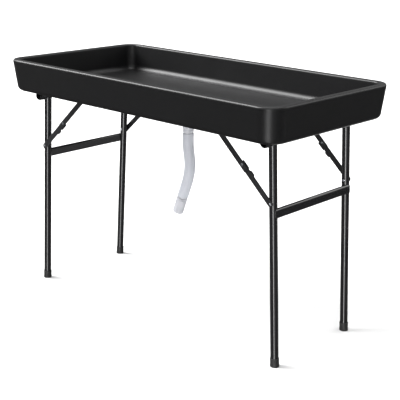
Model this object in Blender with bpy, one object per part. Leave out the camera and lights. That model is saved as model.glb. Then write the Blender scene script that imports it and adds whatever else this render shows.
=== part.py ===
"""A folding cooler table: a black blow-moulded tub on two steel leg frames, with a drain hose.

The origin is on the floor under the middle of the table. +X runs along its length, -Y is its front and
+Z is up. Each leg frame has two legs that splay outward, a crossbar and a pivot tube under the tub, and each
leg is held by a two-link folding brace. The left side is the right side turned half a turn about Z, so that
the two frames, which are shifted along Y, lie side by side when they are folded.
"""

import math

import bmesh
import bpy
from mathutils import Matrix, Vector

# Clearances
GAP = 0.0003
ARM_PLAY = 0.0004
NEST_CLEARANCE = 0.0021
PIVOT_CLEARANCE = 0.0028
BRACE_HEADROOM = 0.0025
SADDLE_CLEARANCE = 0.0053

# Tub
TABLE_LENGTH = 1.200
TABLE_WIDTH = 0.600
TABLE_HEIGHT = 0.832
TUB_DEPTH = 0.111
END_DRAFT = 0.0075
SIDE_DRAFT = 0.0125
CORNER_RADIUS = 0.060
BOTTOM_FILLET = 0.0165
RIM_WIDTH = 0.025
RIM_OUTER_FILLET = 0.008
RIM_INNER_FILLET = 0.006
BASIN_DRAFT = 0.008
BASIN_FILLET = 0.020
FLOOR_THICKNESS = 0.012
FLOOR_FALL = 0.003
GROOVE_DEPTH = 0.003
GROOVE_WIDTH = 0.018
GROOVE_PITCH = 0.056
GROOVE_PAIRS = 2

# Leg frames
TUBE_RADIUS = 0.0127
TUBE_WALL = 0.0015
PIVOT_INSET = 0.1031
FOOT_INSET = 0.063
LEG_SIDE_INSET = 0.1155
PIVOT_TUBE_END = 0.004
CROSSBAR_Z = 0.488
CROSSBAR_HEIGHT = 0.031
CROSSBAR_DEPTH = 0.014
CROSSBAR_PROUD = 0.0020
CROSSBAR_LAP = 0.010
CROSSBAR_BORE_STOP = 0.005
CAP_WALL = 0.0018
CAP_HEIGHT = 0.028
CAP_FLOOR = 0.004
CAP_CHAMFER = 0.0012

# Saddle clamps and all the screws
SADDLE_WIDTH = 0.022
SADDLE_THICKNESS = 0.0025
SADDLE_FLANGE = 0.018
SCREW_RADIUS = 0.0021
SCREW_HEAD_RADIUS = 0.0048
SCREW_HEAD_HEIGHT = 0.0024
SCREW_LENGTH = 0.008
PILOT_EXTRA = 0.001

# Folding braces
BRACE_REACH = 0.2001
LEG_RIVET_RUN = 0.1879
ARM_LENGTH_DIFFERENCE = 0.01186
ARM_WIDTH = 0.0170
ARM_THICKNESS = 0.0020
ARM_TAIL = 0.024
ARM_CORNER = 0.004
EAR_HEIGHT = 0.0038
EAR_START = 0.025
EAR_END = 0.009
GRIP_START = 0.053
GRIP_END = 0.029
GRIP_HEIGHT = 0.0034
BRACKET_LENGTH = 0.030
BRACKET_FLANGE = 0.024
BRACKET_THICKNESS = 0.0020
BRACKET_MARGIN = 0.001
BRACKET_SCREW_OUT = 0.0145
RIVET_RADIUS = 0.0031
RIVET_HEAD_RADIUS = 0.0047
RIVET_HEAD_HEIGHT = 0.0013
LEG_HEAD_RADIUS = 0.0038
LEG_HEAD_HEIGHT = 0.0015
INNER_HEAD_HEIGHT = 0.0020

# Drain
DRAIN_BORE = 0.0145
DRAIN_WALL = 0.0035
DRAIN_TAIL_LENGTH = 0.049
DRAIN_FLANGE = 0.011
DRAIN_FLANGE_THICKNESS = 0.0030
DRAIN_EDGE = 0.001
GASKET_THICKNESS = 0.0015
STRAINER_LEDGE = 0.007
STRAINER_THICKNESS = 0.0020
STRAINER_SLOTS = 8
STRAINER_SLOT_WIDTH = 0.0030
STRAINER_SLOT_START = 0.0045
STRAINER_SLOT_END = 0.0130
NUT_RIM = 0.008
NUT_LUG_HEIGHT = 0.004
NUT_HEIGHT = 0.011
NUT_LUGS = 8
ADAPTER_TOP_DROP = 0.026
ADAPTER_SOCKET_DEPTH = 0.0236
ADAPTER_WALL = 0.0042
ADAPTER_RADIUS = 0.0185
ADAPTER_TAPER = 0.012
ADAPTER_BAND = 0.009
ADAPTER_GROOVE = 0.0012
ADAPTER_NECK_RADIUS = 0.0165
ADAPTER_NECK_HEIGHT = 0.0035
ADAPTER_NECK_WALL = 0.0030

# Drain hose: its diameter, where it starts below the tub, and how far along X and down its centre line goes
HOSE_RADIUS = 0.0190
HOSE_TOP_DROP = 0.1045
HOSE_ROUTE = (
    (0.0000, 0.0000),
    (0.0000, 0.0305),
    (0.0030, 0.0625),
    (0.0085, 0.0955),
    (0.0080, 0.1280),
    (0.0006, 0.1620),
    (-0.0110, 0.1945),
    (-0.0222, 0.2245),
)
HOSE_SPAN_POINTS = 2
FITTING_RADIUS = 0.0188
FITTING_LENGTH = 0.067
FITTING_WALL = 0.0022
FITTING_NECK_RADIUS = 0.0165
FITTING_NECK = 0.0040
FITTING_COLLAR = 0.0045
FITTING_GROOVE = 0.0016

# Facets
CORNER_STEPS = 6
FILLET_STEPS = 4
TUBE_SIDES = 20
RIVET_SIDES = 12
SCREW_SIDES = 10
ROUND_END_STEPS = 6
DOME_STEPS = 2
DRAIN_SIDES = 22

# Worked out from the sizes above
TUB_BOTTOM = TABLE_HEIGHT - TUB_DEPTH
PIVOT_X = TABLE_LENGTH / 2 - PIVOT_INSET
PIVOT_DROP = TUBE_RADIUS + PIVOT_CLEARANCE
PIVOT_Z = TUB_BOTTOM - PIVOT_DROP
FOOT_X = TABLE_LENGTH / 2 - FOOT_INSET
SPLAY = math.atan2(FOOT_X - PIVOT_X, PIVOT_Z)
LEG_RUN = math.hypot(FOOT_X - PIVOT_X, PIVOT_Z)
LEG_SPACING = TABLE_WIDTH - 2 * LEG_SIDE_INSET
CAP_RADIUS = TUBE_RADIUS + CAP_WALL
NEST_SHIFT = CAP_RADIUS + NEST_CLEARANCE
NEAR_Y = -LEG_SPACING / 2 + NEST_SHIFT
FAR_Y = LEG_SPACING / 2 + NEST_SHIFT
CROSSBAR_RUN = (PIVOT_Z - CROSSBAR_Z) / math.cos(SPLAY)
SADDLE_SHIFT = TUBE_RADIUS + SADDLE_CLEARANCE + SADDLE_WIDTH / 2
SADDLE_SCREW_X = TUBE_RADIUS + GAP + SADDLE_THICKNESS + SADDLE_FLANGE / 2
PIVOT_TUBE_HALF = LEG_SPACING / 2 + SADDLE_SHIFT + SADDLE_WIDTH / 2 + PIVOT_TUBE_END
BRACE_X = PIVOT_X - BRACE_REACH
BRACE_DROP = ARM_WIDTH / 2 + BRACE_HEADROOM
BRACE_Z = TUB_BOTTOM - BRACE_DROP
LEG_RIVET_X = PIVOT_X + LEG_RIVET_RUN * math.sin(SPLAY)
LEG_RIVET_Z = PIVOT_Z - LEG_RIVET_RUN * math.cos(SPLAY)
BRACE_SPAN = math.hypot(LEG_RIVET_X - BRACE_X, BRACE_Z - LEG_RIVET_Z)
BRACE_PITCH = math.atan2(BRACE_Z - LEG_RIVET_Z, LEG_RIVET_X - BRACE_X)
LOWER_ARM = (BRACE_SPAN + ARM_LENGTH_DIFFERENCE) / 2
UPPER_ARM = (BRACE_SPAN - ARM_LENGTH_DIFFERENCE) / 2
KNUCKLE_X = BRACE_X + UPPER_ARM * math.cos(BRACE_PITCH)
KNUCKLE_Z = BRACE_Z - UPPER_ARM * math.sin(BRACE_PITCH)
LOWER_LAYER = TUBE_RADIUS + ARM_PLAY
UPPER_LAYER = LOWER_LAYER + ARM_THICKNESS + GAP
BRACKET_LAYER = UPPER_LAYER + ARM_THICKNESS + GAP
BRACKET_SCREW_Y = BRACKET_LAYER + BRACKET_SCREW_OUT
DRAIN_FLOOR = TUB_BOTTOM + FLOOR_THICKNESS
POCKET_FLOOR = DRAIN_FLOOR - DRAIN_FLANGE_THICKNESS - GASKET_THICKNESS - 3 * GAP
DRAIN_TAIL_RADIUS = DRAIN_BORE + DRAIN_WALL
DRAIN_HOLE = DRAIN_TAIL_RADIUS + GAP
DRAIN_FLANGE_RADIUS = DRAIN_TAIL_RADIUS + DRAIN_FLANGE
POCKET_RADIUS = DRAIN_FLANGE_RADIUS + DRAIN_EDGE
STRAINER_RADIUS = DRAIN_BORE + STRAINER_LEDGE
NUT_RADIUS = DRAIN_TAIL_RADIUS + NUT_RIM
HOSE_TOP = TUB_BOTTOM - HOSE_TOP_DROP
GROOVE_START = NUT_RADIUS + NUT_LUG_HEIGHT + GROOVE_WIDTH
GROOVE_END = PIVOT_X - SADDLE_SCREW_X - SADDLE_FLANGE


def clear_scene():
    for obj in list(bpy.data.objects):
        bpy.data.objects.remove(obj, do_unlink=True)


def material(name, colour, roughness, metallic=0.0):
    made = bpy.data.materials.new(name)
    made.use_nodes = True
    shader = made.node_tree.nodes["Principled BSDF"]
    shader.inputs["Base Color"].default_value = (*colour, 1.0)
    shader.inputs["Roughness"].default_value = roughness
    shader.inputs["Metallic"].default_value = metallic
    return made


def empty(name, parent=None, location=(0, 0, 0), rotation=(0, 0, 0)):
    obj = bpy.data.objects.new(name, None)
    bpy.context.scene.collection.objects.link(obj)
    obj.parent = parent
    obj.location = location
    obj.rotation_euler = rotation
    return obj


def finish(name, mesh, look, parent=None, location=(0, 0, 0), rotation=(0, 0, 0)):
    """Turns a bmesh into a named object with its material, placed under its parent."""
    bmesh.ops.recalc_face_normals(mesh, faces=mesh.faces)
    data = bpy.data.meshes.new(name)
    mesh.to_mesh(data)
    mesh.free()
    data.shade_smooth()
    data.set_sharp_from_angle(angle=math.radians(35))
    data.materials.append(look)
    obj = bpy.data.objects.new(name, data)
    bpy.context.scene.collection.objects.link(obj)
    obj.parent = parent
    obj.location = location
    obj.rotation_euler = rotation
    return obj


def combine(obj, tool, operation):
    """Cuts the tool out of the object or joins it on, and keeps the tool out of sight."""
    tool.hide_render = True
    tool.display_type = "WIRE"
    modifier = obj.modifiers.new(tool.name, "BOOLEAN")
    modifier.operation = operation
    modifier.solver = "EXACT"
    modifier.object = tool


def arc(centre, radius, start, end, steps):
    """Points on an arc from one angle to another in degrees, both ends included."""
    points = []
    for i in range(steps + 1):
        angle = math.radians(start + (end - start) * i / steps)
        points.append((centre[0] + radius * math.cos(angle), centre[1] + radius * math.sin(angle)))
    return points


def turned(profile, sides, along_y=False):
    """A closed profile of (radius, height) points turned about Z, or about Y with its heights along +Y.

    The facets start half a step round, so that each tube has a flat on its sides and not an edge.
    """
    mesh = bmesh.new()
    verts = [mesh.verts.new((radius, 0, height)) for radius, height in profile]
    edges = []
    for first, second in zip(verts, verts[1:] + verts[:1]):
        if first.co.x > 0 or second.co.x > 0:
            edges.append(mesh.edges.new((first, second)))
    bmesh.ops.spin(
        mesh,
        geom=verts + edges,
        cent=(0, 0, 0),
        axis=(0, 0, 1),
        angle=2 * math.pi,
        steps=sides,
        use_merge=True,
        use_duplicate=False,
    )
    bmesh.ops.remove_doubles(mesh, verts=mesh.verts, dist=1e-6)
    turn = Matrix.Rotation(math.pi / sides, 3, "Z")
    if along_y:
        turn = Matrix.Rotation(math.radians(-90), 3, "X") @ turn
    bmesh.ops.rotate(mesh, verts=mesh.verts, cent=(0, 0, 0), matrix=turn)
    return mesh


def slab(outline, thickness, base=0.0):
    """An outline of (x, z) points extruded along +Y from the base."""
    mesh = bmesh.new()
    face = mesh.faces.new([mesh.verts.new((x, base, z)) for x, z in outline])
    extruded = bmesh.ops.extrude_face_region(mesh, geom=[face])
    moved = [item for item in extruded["geom"] if isinstance(item, bmesh.types.BMVert)]
    bmesh.ops.translate(mesh, verts=moved, vec=(0, thickness, 0))
    return mesh


def block(low, high):
    """A box between two opposite corners."""
    mesh = bmesh.new()
    bmesh.ops.create_cube(mesh, size=1)
    low, high = Vector(low), Vector(high)
    bmesh.ops.scale(mesh, verts=mesh.verts, vec=high - low)
    bmesh.ops.translate(mesh, verts=mesh.verts, vec=(low + high) / 2)
    return mesh


def rod(radius, bottom, top):
    """The profile of a plain rod."""
    return [(0, top), (radius, top), (radius, bottom), (0, bottom)]


def pipe(inner, outer, bottom, top):
    """The profile of a plain tube or ring."""
    return [(inner, top), (outer, top), (outer, bottom), (inner, bottom)]


def dome(radius, height, base):
    """The profile of a domed rivet or screw head, from its crown to its rim at the base."""
    sphere = (radius * radius + height * height) / (2 * height)
    spread = math.degrees(math.asin(radius / sphere))
    flank = arc((0, base + height - sphere), sphere, 90, 90 - spread, DOME_STEPS)
    return [(0, base + height)] + flank[1:]


def underneath(profile):
    """The same profile upside down, listed the other way round."""
    return [(radius, -height) for radius, height in reversed(profile)]


def rounded_ring(half_x, half_y, radius, height):
    """A rounded rectangle of points at one height."""
    points = []
    for side_x, side_y, start in ((1, 1, 0), (-1, 1, 90), (-1, -1, 180), (1, -1, 270)):
        centre = (side_x * (half_x - radius), side_y * (half_y - radius))
        for x, y in arc(centre, radius, start, start + 90, CORNER_STEPS):
            points.append((x, y, height))
    return points


def tub_rings():
    """The tub's skin as rings, from the underside over the rim to the basin floor and the drain hole."""

    def inset(inset_x, inset_y, height):
        radius = CORNER_RADIUS - (inset_x + inset_y) / 2
        half_x = TABLE_LENGTH / 2 - inset_x
        half_y = TABLE_WIDTH / 2 - inset_y
        return rounded_ring(half_x, half_y, radius, height)

    rings = []
    for inward, rise in arc((BOTTOM_FILLET, BOTTOM_FILLET), BOTTOM_FILLET, 270, 180, FILLET_STEPS):
        rings.append(inset(END_DRAFT + inward, SIDE_DRAFT + inward, TUB_BOTTOM + rise))
    start = TABLE_HEIGHT - RIM_OUTER_FILLET
    for inward, rise in arc((RIM_OUTER_FILLET, 0), RIM_OUTER_FILLET, 180, 90, FILLET_STEPS):
        rings.append(inset(inward, inward, start + rise))
    start = TABLE_HEIGHT - RIM_INNER_FILLET
    for inward, rise in arc((RIM_WIDTH - RIM_INNER_FILLET, 0), RIM_INNER_FILLET, 90, 0, FILLET_STEPS):
        rings.append(inset(inward, inward, start + rise))
    start = DRAIN_FLOOR + FLOOR_FALL
    wall = RIM_WIDTH + BASIN_DRAFT
    for inward, rise in arc((BASIN_FILLET, BASIN_FILLET), BASIN_FILLET, 180, 270, FILLET_STEPS):
        rings.append(inset(wall + inward, wall + inward, start + rise))
    for radius, height in (
        (POCKET_RADIUS, DRAIN_FLOOR),
        (POCKET_RADIUS, POCKET_FLOOR),
        (DRAIN_HOLE, POCKET_FLOOR),
        (DRAIN_HOLE, TUB_BOTTOM),
    ):
        rings.append(rounded_ring(radius, radius, radius, height))
    return rings


def build_groove(x, y, look):
    """The cutter for one stiffening groove under the tub: round ends and sides that lean in."""
    half = (GROOVE_END - GROOVE_START) / 2
    radius = GROOVE_WIDTH / 2
    mesh = bmesh.new()
    levels = []
    for spread, height in ((radius + GROOVE_DEPTH, -GROOVE_DEPTH), (radius - GROOVE_DEPTH, GROOVE_DEPTH)):
        reach = half - radius
        outline = arc((reach, 0), spread, -90, 90, ROUND_END_STEPS)
        outline += arc((-reach, 0), spread, 90, 270, ROUND_END_STEPS)
        levels.append([mesh.verts.new((px, py, height)) for px, py in outline])
    lower, upper = levels
    mesh.faces.new(lower)
    mesh.faces.new(upper)
    for a, b, c, d in zip(lower, lower[1:] + lower[:1], upper[1:] + upper[:1], upper):
        mesh.faces.new((a, b, c, d))
    return finish("groove_cutter", mesh, look, None, (x, y, TUB_BOTTOM))


def build_tub(look):
    mesh = bmesh.new()
    loops = [[mesh.verts.new(point) for point in ring] for ring in tub_rings()]
    for lower, upper in zip(loops, loops[1:] + loops[:1]):
        for a, b, c, d in zip(lower, lower[1:] + lower[:1], upper[1:] + upper[:1], upper):
            mesh.faces.new((a, b, c, d))
    tub = finish("tub", mesh, look)
    for side in (-1, 1):
        x = side * (GROOVE_START + GROOVE_END) / 2
        for i in range(2 * GROOVE_PAIRS):
            y = GROOVE_PITCH * (i + 0.5 - GROOVE_PAIRS)
            combine(tub, build_groove(x, y, look), "DIFFERENCE")
    for x, y in screw_places():
        pilot = turned(rod(SCREW_RADIUS + GAP, -PILOT_EXTRA, SCREW_LENGTH + PILOT_EXTRA), SCREW_SIDES)
        cutter = finish("pilot_hole_cutter", pilot, look, None, (x, y, TUB_BOTTOM))
        combine(tub, cutter, "DIFFERENCE")
    return tub


def screw_places():
    """Where the clamps' and brackets' screws enter the underside of the tub, on both sides."""
    places = []
    for y, outward in ((NEAR_Y, -1), (FAR_Y, 1)):
        places.append((BRACE_X, y + outward * BRACKET_SCREW_Y))
        for sign in (-1, 1):
            places.append((PIVOT_X + sign * SADDLE_SCREW_X, y + outward * SADDLE_SHIFT))
    return places + [(-x, -y) for x, y in places]


def build_pivot_tube(name, look, pivot):
    wall = pipe(TUBE_RADIUS - TUBE_WALL, TUBE_RADIUS, -PIVOT_TUBE_HALF, PIVOT_TUBE_HALF)
    mesh = turned(wall, TUBE_SIDES, along_y=True)
    return finish(name, mesh, look, pivot, (0, NEST_SHIFT, 0))


def build_leg(name, look, pivot, y, cope):
    """A leg tube, coped to fit under the pivot tube, with the leg rivet's hole through both its walls."""
    end = CAP_FLOOR + GAP - LEG_RUN
    mesh = turned(pipe(TUBE_RADIUS - TUBE_WALL, TUBE_RADIUS, end, 0), TUBE_SIDES)
    leg = finish(name, mesh, look, pivot, (0, y, 0))
    combine(leg, cope, "DIFFERENCE")
    reach = TUBE_RADIUS + TUBE_WALL
    hole = turned(rod(RIVET_RADIUS + GAP, -reach, reach), RIVET_SIDES, along_y=True)
    combine(leg, finish("leg_hole_cutter", hole, look, pivot, (0, y, -LEG_RIVET_RUN)), "DIFFERENCE")
    return leg


def flat_oval(height, depth):
    """An upright outline with straight sides and round ends."""
    radius = depth / 2
    reach = height / 2 - radius
    top = arc((0, reach), radius, 0, 180, ROUND_END_STEPS)
    return top + arc((0, -reach), radius, 180, 360, ROUND_END_STEPS)


def build_crossbar(name, look, pivot):
    """A flat-oval tube along the outer side of the two legs, its ends coped and lapped over them."""
    x = TUBE_RADIUS + CROSSBAR_PROUD - CROSSBAR_DEPTH / 2
    place = (x, NEAR_Y, -CROSSBAR_RUN)
    outline = flat_oval(CROSSBAR_HEIGHT, CROSSBAR_DEPTH)
    mesh = slab(outline, LEG_SPACING + 2 * CROSSBAR_LAP, -CROSSBAR_LAP)
    bar = finish(name, mesh, look, pivot, place)
    for y in (NEAR_Y, FAR_Y):
        leg = turned(rod(TUBE_RADIUS + GAP, -CROSSBAR_HEIGHT, CROSSBAR_HEIGHT), TUBE_SIDES)
        combine(bar, finish("cope_cutter", leg, look, pivot, (0, y, -CROSSBAR_RUN)), "DIFFERENCE")
    inner = flat_oval(CROSSBAR_HEIGHT - 2 * TUBE_WALL, CROSSBAR_DEPTH - 2 * TUBE_WALL)
    bore = slab(inner, LEG_SPACING - 2 * CROSSBAR_BORE_STOP, CROSSBAR_BORE_STOP)
    combine(bar, finish("crossbar_bore_cutter", bore, look, pivot, place), "DIFFERENCE")
    return bar


def build_foot_cap(name, look, pivot, y):
    """A plastic boot over the leg's end, cut level with the floor."""
    bottom = -(LEG_RUN + CAP_RADIUS * math.tan(SPLAY) + CAP_CHAMFER)
    top = CAP_HEIGHT - LEG_RUN
    floor = CAP_FLOOR - LEG_RUN
    bore = TUBE_RADIUS + GAP
    profile = [
        (0, floor),
        (bore, floor),
        (bore, top),
        (CAP_RADIUS - CAP_CHAMFER / 2, top),
        (CAP_RADIUS, top - CAP_CHAMFER),
        (CAP_RADIUS, bottom + CAP_CHAMFER),
        (CAP_RADIUS - CAP_CHAMFER, bottom),
        (0, bottom),
    ]
    mesh = turned(profile, TUBE_SIDES)
    downward = Matrix.Rotation(SPLAY, 3, "Y") @ Vector((0, 0, -1))
    sliced = bmesh.ops.bisect_plane(
        mesh,
        geom=mesh.verts[:] + mesh.edges[:] + mesh.faces[:],
        plane_co=(0, 0, -LEG_RUN),
        plane_no=downward,
        clear_outer=True,
    )
    rim = [item for item in sliced["geom_cut"] if isinstance(item, bmesh.types.BMEdge)]
    bmesh.ops.holes_fill(mesh, edges=rim)
    return finish(name, mesh, look, pivot, (0, y, 0))


def lower_arm_outline(ear):
    """The lower arm from its leg rivet along +X, with an ear and a finger grip on the edge that ear picks."""
    half = ARM_WIDTH / 2
    tip = LOWER_ARM + EAR_END
    crown = half + EAR_HEIGHT
    outline = arc((0, 0), half, 90, 270, ROUND_END_STEPS)
    outline += arc((tip - half, 0), half, -90, 0, ROUND_END_STEPS // 2)
    outline += arc((tip - ARM_CORNER, crown - ARM_CORNER), ARM_CORNER, 0, 90, ROUND_END_STEPS // 2)
    outline += [(LOWER_ARM - EAR_START + EAR_HEIGHT, crown), (LOWER_ARM - EAR_START, half)]
    for x, rise in arc((0, 0), 1, 0, 180, ROUND_END_STEPS)[1:-1]:
        middle = LOWER_ARM - (GRIP_START + GRIP_END) / 2
        outline.append((middle + x * (GRIP_START - GRIP_END) / 2, half + rise * GRIP_HEIGHT))
    return [(x, ear * z) for x, z in outline]


def layer_base(start, outward):
    """Where a strip in one of the brace's layers begins along Y, on the leg's outer side."""
    return start if outward > 0 else -start - ARM_THICKNESS


def rivet_hole(x, parent, look):
    reach = BRACKET_LAYER + 2 * BRACKET_THICKNESS
    hole = turned(rod(RIVET_RADIUS + GAP, -reach, reach), RIVET_SIDES, along_y=True)
    return finish("rivet_hole_cutter", hole, look, parent, (x, 0, 0))


def build_upper_arm(name, look, side, y, outward):
    """The outer link of a brace, from its bracket to its tail past the knuckle."""
    half = ARM_WIDTH / 2
    end = UPPER_ARM + ARM_TAIL - ARM_CORNER
    outline = arc((0, 0), half, 90, 270, ROUND_END_STEPS)
    outline += arc((end, ARM_CORNER - half), ARM_CORNER, -90, 0, ROUND_END_STEPS // 2)
    outline += arc((end, half - ARM_CORNER), ARM_CORNER, 0, 90, ROUND_END_STEPS // 2)
    mesh = slab(outline, ARM_THICKNESS, layer_base(UPPER_LAYER, outward))
    arm = finish(name, mesh, look, side, (BRACE_X, y, BRACE_Z), (0, BRACE_PITCH, 0))
    combine(arm, rivet_hole(0, arm, look), "DIFFERENCE")
    combine(arm, rivet_hole(UPPER_ARM, arm, look), "DIFFERENCE")
    return arm


def build_lower_arm(name, look, side, y, outward):
    """The inner link of a brace, from the leg rivet to the knuckle."""
    mesh = slab(lower_arm_outline(outward), ARM_THICKNESS, layer_base(LOWER_LAYER, outward))
    place = (LEG_RIVET_X, y, LEG_RIVET_Z)
    arm = finish(name, mesh, look, side, place, (0, BRACE_PITCH + math.pi, 0))
    combine(arm, rivet_hole(0, arm, look), "DIFFERENCE")
    return arm


def build_rivet(name, look, parent, place, outward, base):
    """A rivet whose head is over the layer that ends at the base, and whose shank ends in the upper arm."""
    profile = dome(RIVET_HEAD_RADIUS, RIVET_HEAD_HEIGHT, base + GAP)
    profile += [(RIVET_RADIUS, base + GAP), (RIVET_RADIUS, UPPER_LAYER), (0, UPPER_LAYER)]
    mesh = turned(profile, RIVET_SIDES, along_y=True)
    return finish(name, mesh, look, parent, place, (0, 0, 0 if outward > 0 else math.pi))


def build_leg_rivet(name, look, pivot, y, outward):
    """A rivet right through the leg, with a head over the lower arm and one on the leg's inner side."""
    profile = dome(LEG_HEAD_RADIUS, LEG_HEAD_HEIGHT, LOWER_LAYER + ARM_THICKNESS + GAP)
    profile.append((RIVET_RADIUS, LOWER_LAYER + ARM_THICKNESS + GAP))
    profile.append((RIVET_RADIUS, -TUBE_RADIUS - GAP))
    profile += underneath(dome(RIVET_HEAD_RADIUS, INNER_HEAD_HEIGHT, TUBE_RADIUS + GAP))
    mesh = turned(profile, RIVET_SIDES, along_y=True)
    place = (0, y, -LEG_RIVET_RUN)
    return finish(name, mesh, look, pivot, place, (0, 0, 0 if outward > 0 else math.pi))


def build_bracket(name, look, side, y, outward):
    """A bent steel bracket: a flange under the tub, and a lug outside the upper arm for its rivet."""
    half = BRACKET_LENGTH / 2
    top = BRACE_DROP - GAP
    outline = [(half, top), (-half, top), (-half, 0)]
    outline += arc((0, 0), ARM_WIDTH / 2 + BRACKET_MARGIN, 180, 360, ROUND_END_STEPS)
    outline.append((half, 0))
    lug = slab(outline, BRACKET_THICKNESS, layer_base(BRACKET_LAYER, outward))
    place = (BRACE_X, y, BRACE_Z)
    bracket = finish(name, lug, look, side, place)
    edges = sorted((outward * BRACKET_LAYER, outward * (BRACKET_LAYER + BRACKET_FLANGE)))
    flange = block((-half, edges[0], top - BRACKET_THICKNESS), (half, edges[1], top))
    combine(bracket, finish("bracket_flange", flange, look, side, place), "UNION")
    combine(bracket, rivet_hole(0, bracket, look), "DIFFERENCE")
    hole = turned(rod(SCREW_RADIUS + GAP, 0, 2 * BRACE_DROP), SCREW_SIDES)
    screw_place = (0, outward * BRACKET_SCREW_Y, 0)
    combine(bracket, finish("screw_hole_cutter", hole, look, bracket, screw_place), "DIFFERENCE")
    return bracket


def build_saddle(name, look, side, y):
    """A strap that passes under the pivot tube, with a flange screwed to the tub on each side of it."""
    inner = TUBE_RADIUS + GAP
    outer = inner + SADDLE_THICKNESS
    top = PIVOT_DROP - GAP
    under = top - SADDLE_THICKNESS
    edge = outer + SADDLE_FLANGE
    outline = [(edge, top), (inner, top)]
    outline += arc((0, 0), inner, 0, -180, 2 * ROUND_END_STEPS)
    outline += [(-inner, top), (-edge, top), (-edge, under), (-outer, under)]
    outline += arc((0, 0), outer, 180, 360, 2 * ROUND_END_STEPS)
    outline += [(outer, under), (edge, under)]
    mesh = slab(outline, SADDLE_WIDTH, -SADDLE_WIDTH / 2)
    saddle = finish(name, mesh, look, side, (PIVOT_X, y, PIVOT_Z))
    for sign in (-1, 1):
        hole = turned(rod(SCREW_RADIUS + GAP, 0, 2 * PIVOT_DROP), SCREW_SIDES)
        screw_place = (sign * SADDLE_SCREW_X, 0, 0)
        combine(saddle, finish("screw_hole_cutter", hole, look, saddle, screw_place), "DIFFERENCE")
    return saddle


def build_screw(name, look, side, x, y, plate):
    """A domed screw driven up through a plate of that thickness into the tub."""
    under = plate + 2 * GAP
    profile = [(0, SCREW_LENGTH), (SCREW_RADIUS, SCREW_LENGTH - SCREW_RADIUS), (SCREW_RADIUS, -under)]
    profile += underneath(dome(SCREW_HEAD_RADIUS, SCREW_HEAD_HEIGHT, under))
    mesh = turned(profile, SCREW_SIDES)
    return finish(name, mesh, look, side, (x, y, TUB_BOTTOM))


def build_side(label, turn, looks):
    """One leg frame with its clamps and braces. The left side is the right side turned half a turn."""
    side = empty(f"{label}_side", rotation=(0, 0, turn))
    pivot = empty(f"{label}_frame_pivot", side, (PIVOT_X, 0, PIVOT_Z), (0, -SPLAY, 0))
    build_pivot_tube(f"{label}_pivot_tube", looks["leg"], pivot)
    reach = PIVOT_TUBE_HALF
    cope = turned(rod(TUBE_RADIUS + GAP, -reach, reach), TUBE_SIDES, along_y=True)
    cope = finish("pivot_tube_cutter", cope, looks["leg"], pivot, (0, NEST_SHIFT, 0))
    build_crossbar(f"{label}_crossbar", looks["leg"], pivot)
    wheres = ("back", "front") if turn else ("front", "back")
    for where, y, outward in zip(wheres, (NEAR_Y, FAR_Y), (-1, 1)):
        prefix = f"{label}_{where}"
        build_leg(f"{prefix}_leg", looks["leg"], pivot, y, cope)
        build_foot_cap(f"{prefix}_foot_cap", looks["cap"], pivot, y)
        build_leg_rivet(f"{prefix}_leg_rivet", looks["rivet"], pivot, y, outward)
        build_lower_arm(f"{prefix}_lower_arm", looks["brace"], side, y, outward)
        build_upper_arm(f"{prefix}_upper_arm", looks["brace"], side, y, outward)
        knuckle = (KNUCKLE_X, y, KNUCKLE_Z)
        base = UPPER_LAYER + ARM_THICKNESS
        build_rivet(f"{prefix}_knuckle_rivet", looks["rivet"], side, knuckle, outward, base)
        build_bracket(f"{prefix}_brace_bracket", looks["brace"], side, y, outward)
        bracket_pivot = (BRACE_X, y, BRACE_Z)
        base = BRACKET_LAYER + BRACKET_THICKNESS
        build_rivet(f"{prefix}_bracket_rivet", looks["rivet"], side, bracket_pivot, outward, base)
        screw_y = y + outward * BRACKET_SCREW_Y
        build_screw(f"{prefix}_bracket_screw", looks["rivet"], side, BRACE_X, screw_y, BRACKET_THICKNESS)
        saddle_y = y + outward * SADDLE_SHIFT
        build_saddle(f"{prefix}_saddle", looks["brace"], side, saddle_y)
        for sign, place in ((-1, "inner"), (1, "outer")):
            x = PIVOT_X + sign * SADDLE_SCREW_X
            name = f"{prefix}_saddle_screw_{place}"
            build_screw(name, looks["rivet"], side, x, saddle_y, SADDLE_THICKNESS)


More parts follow.
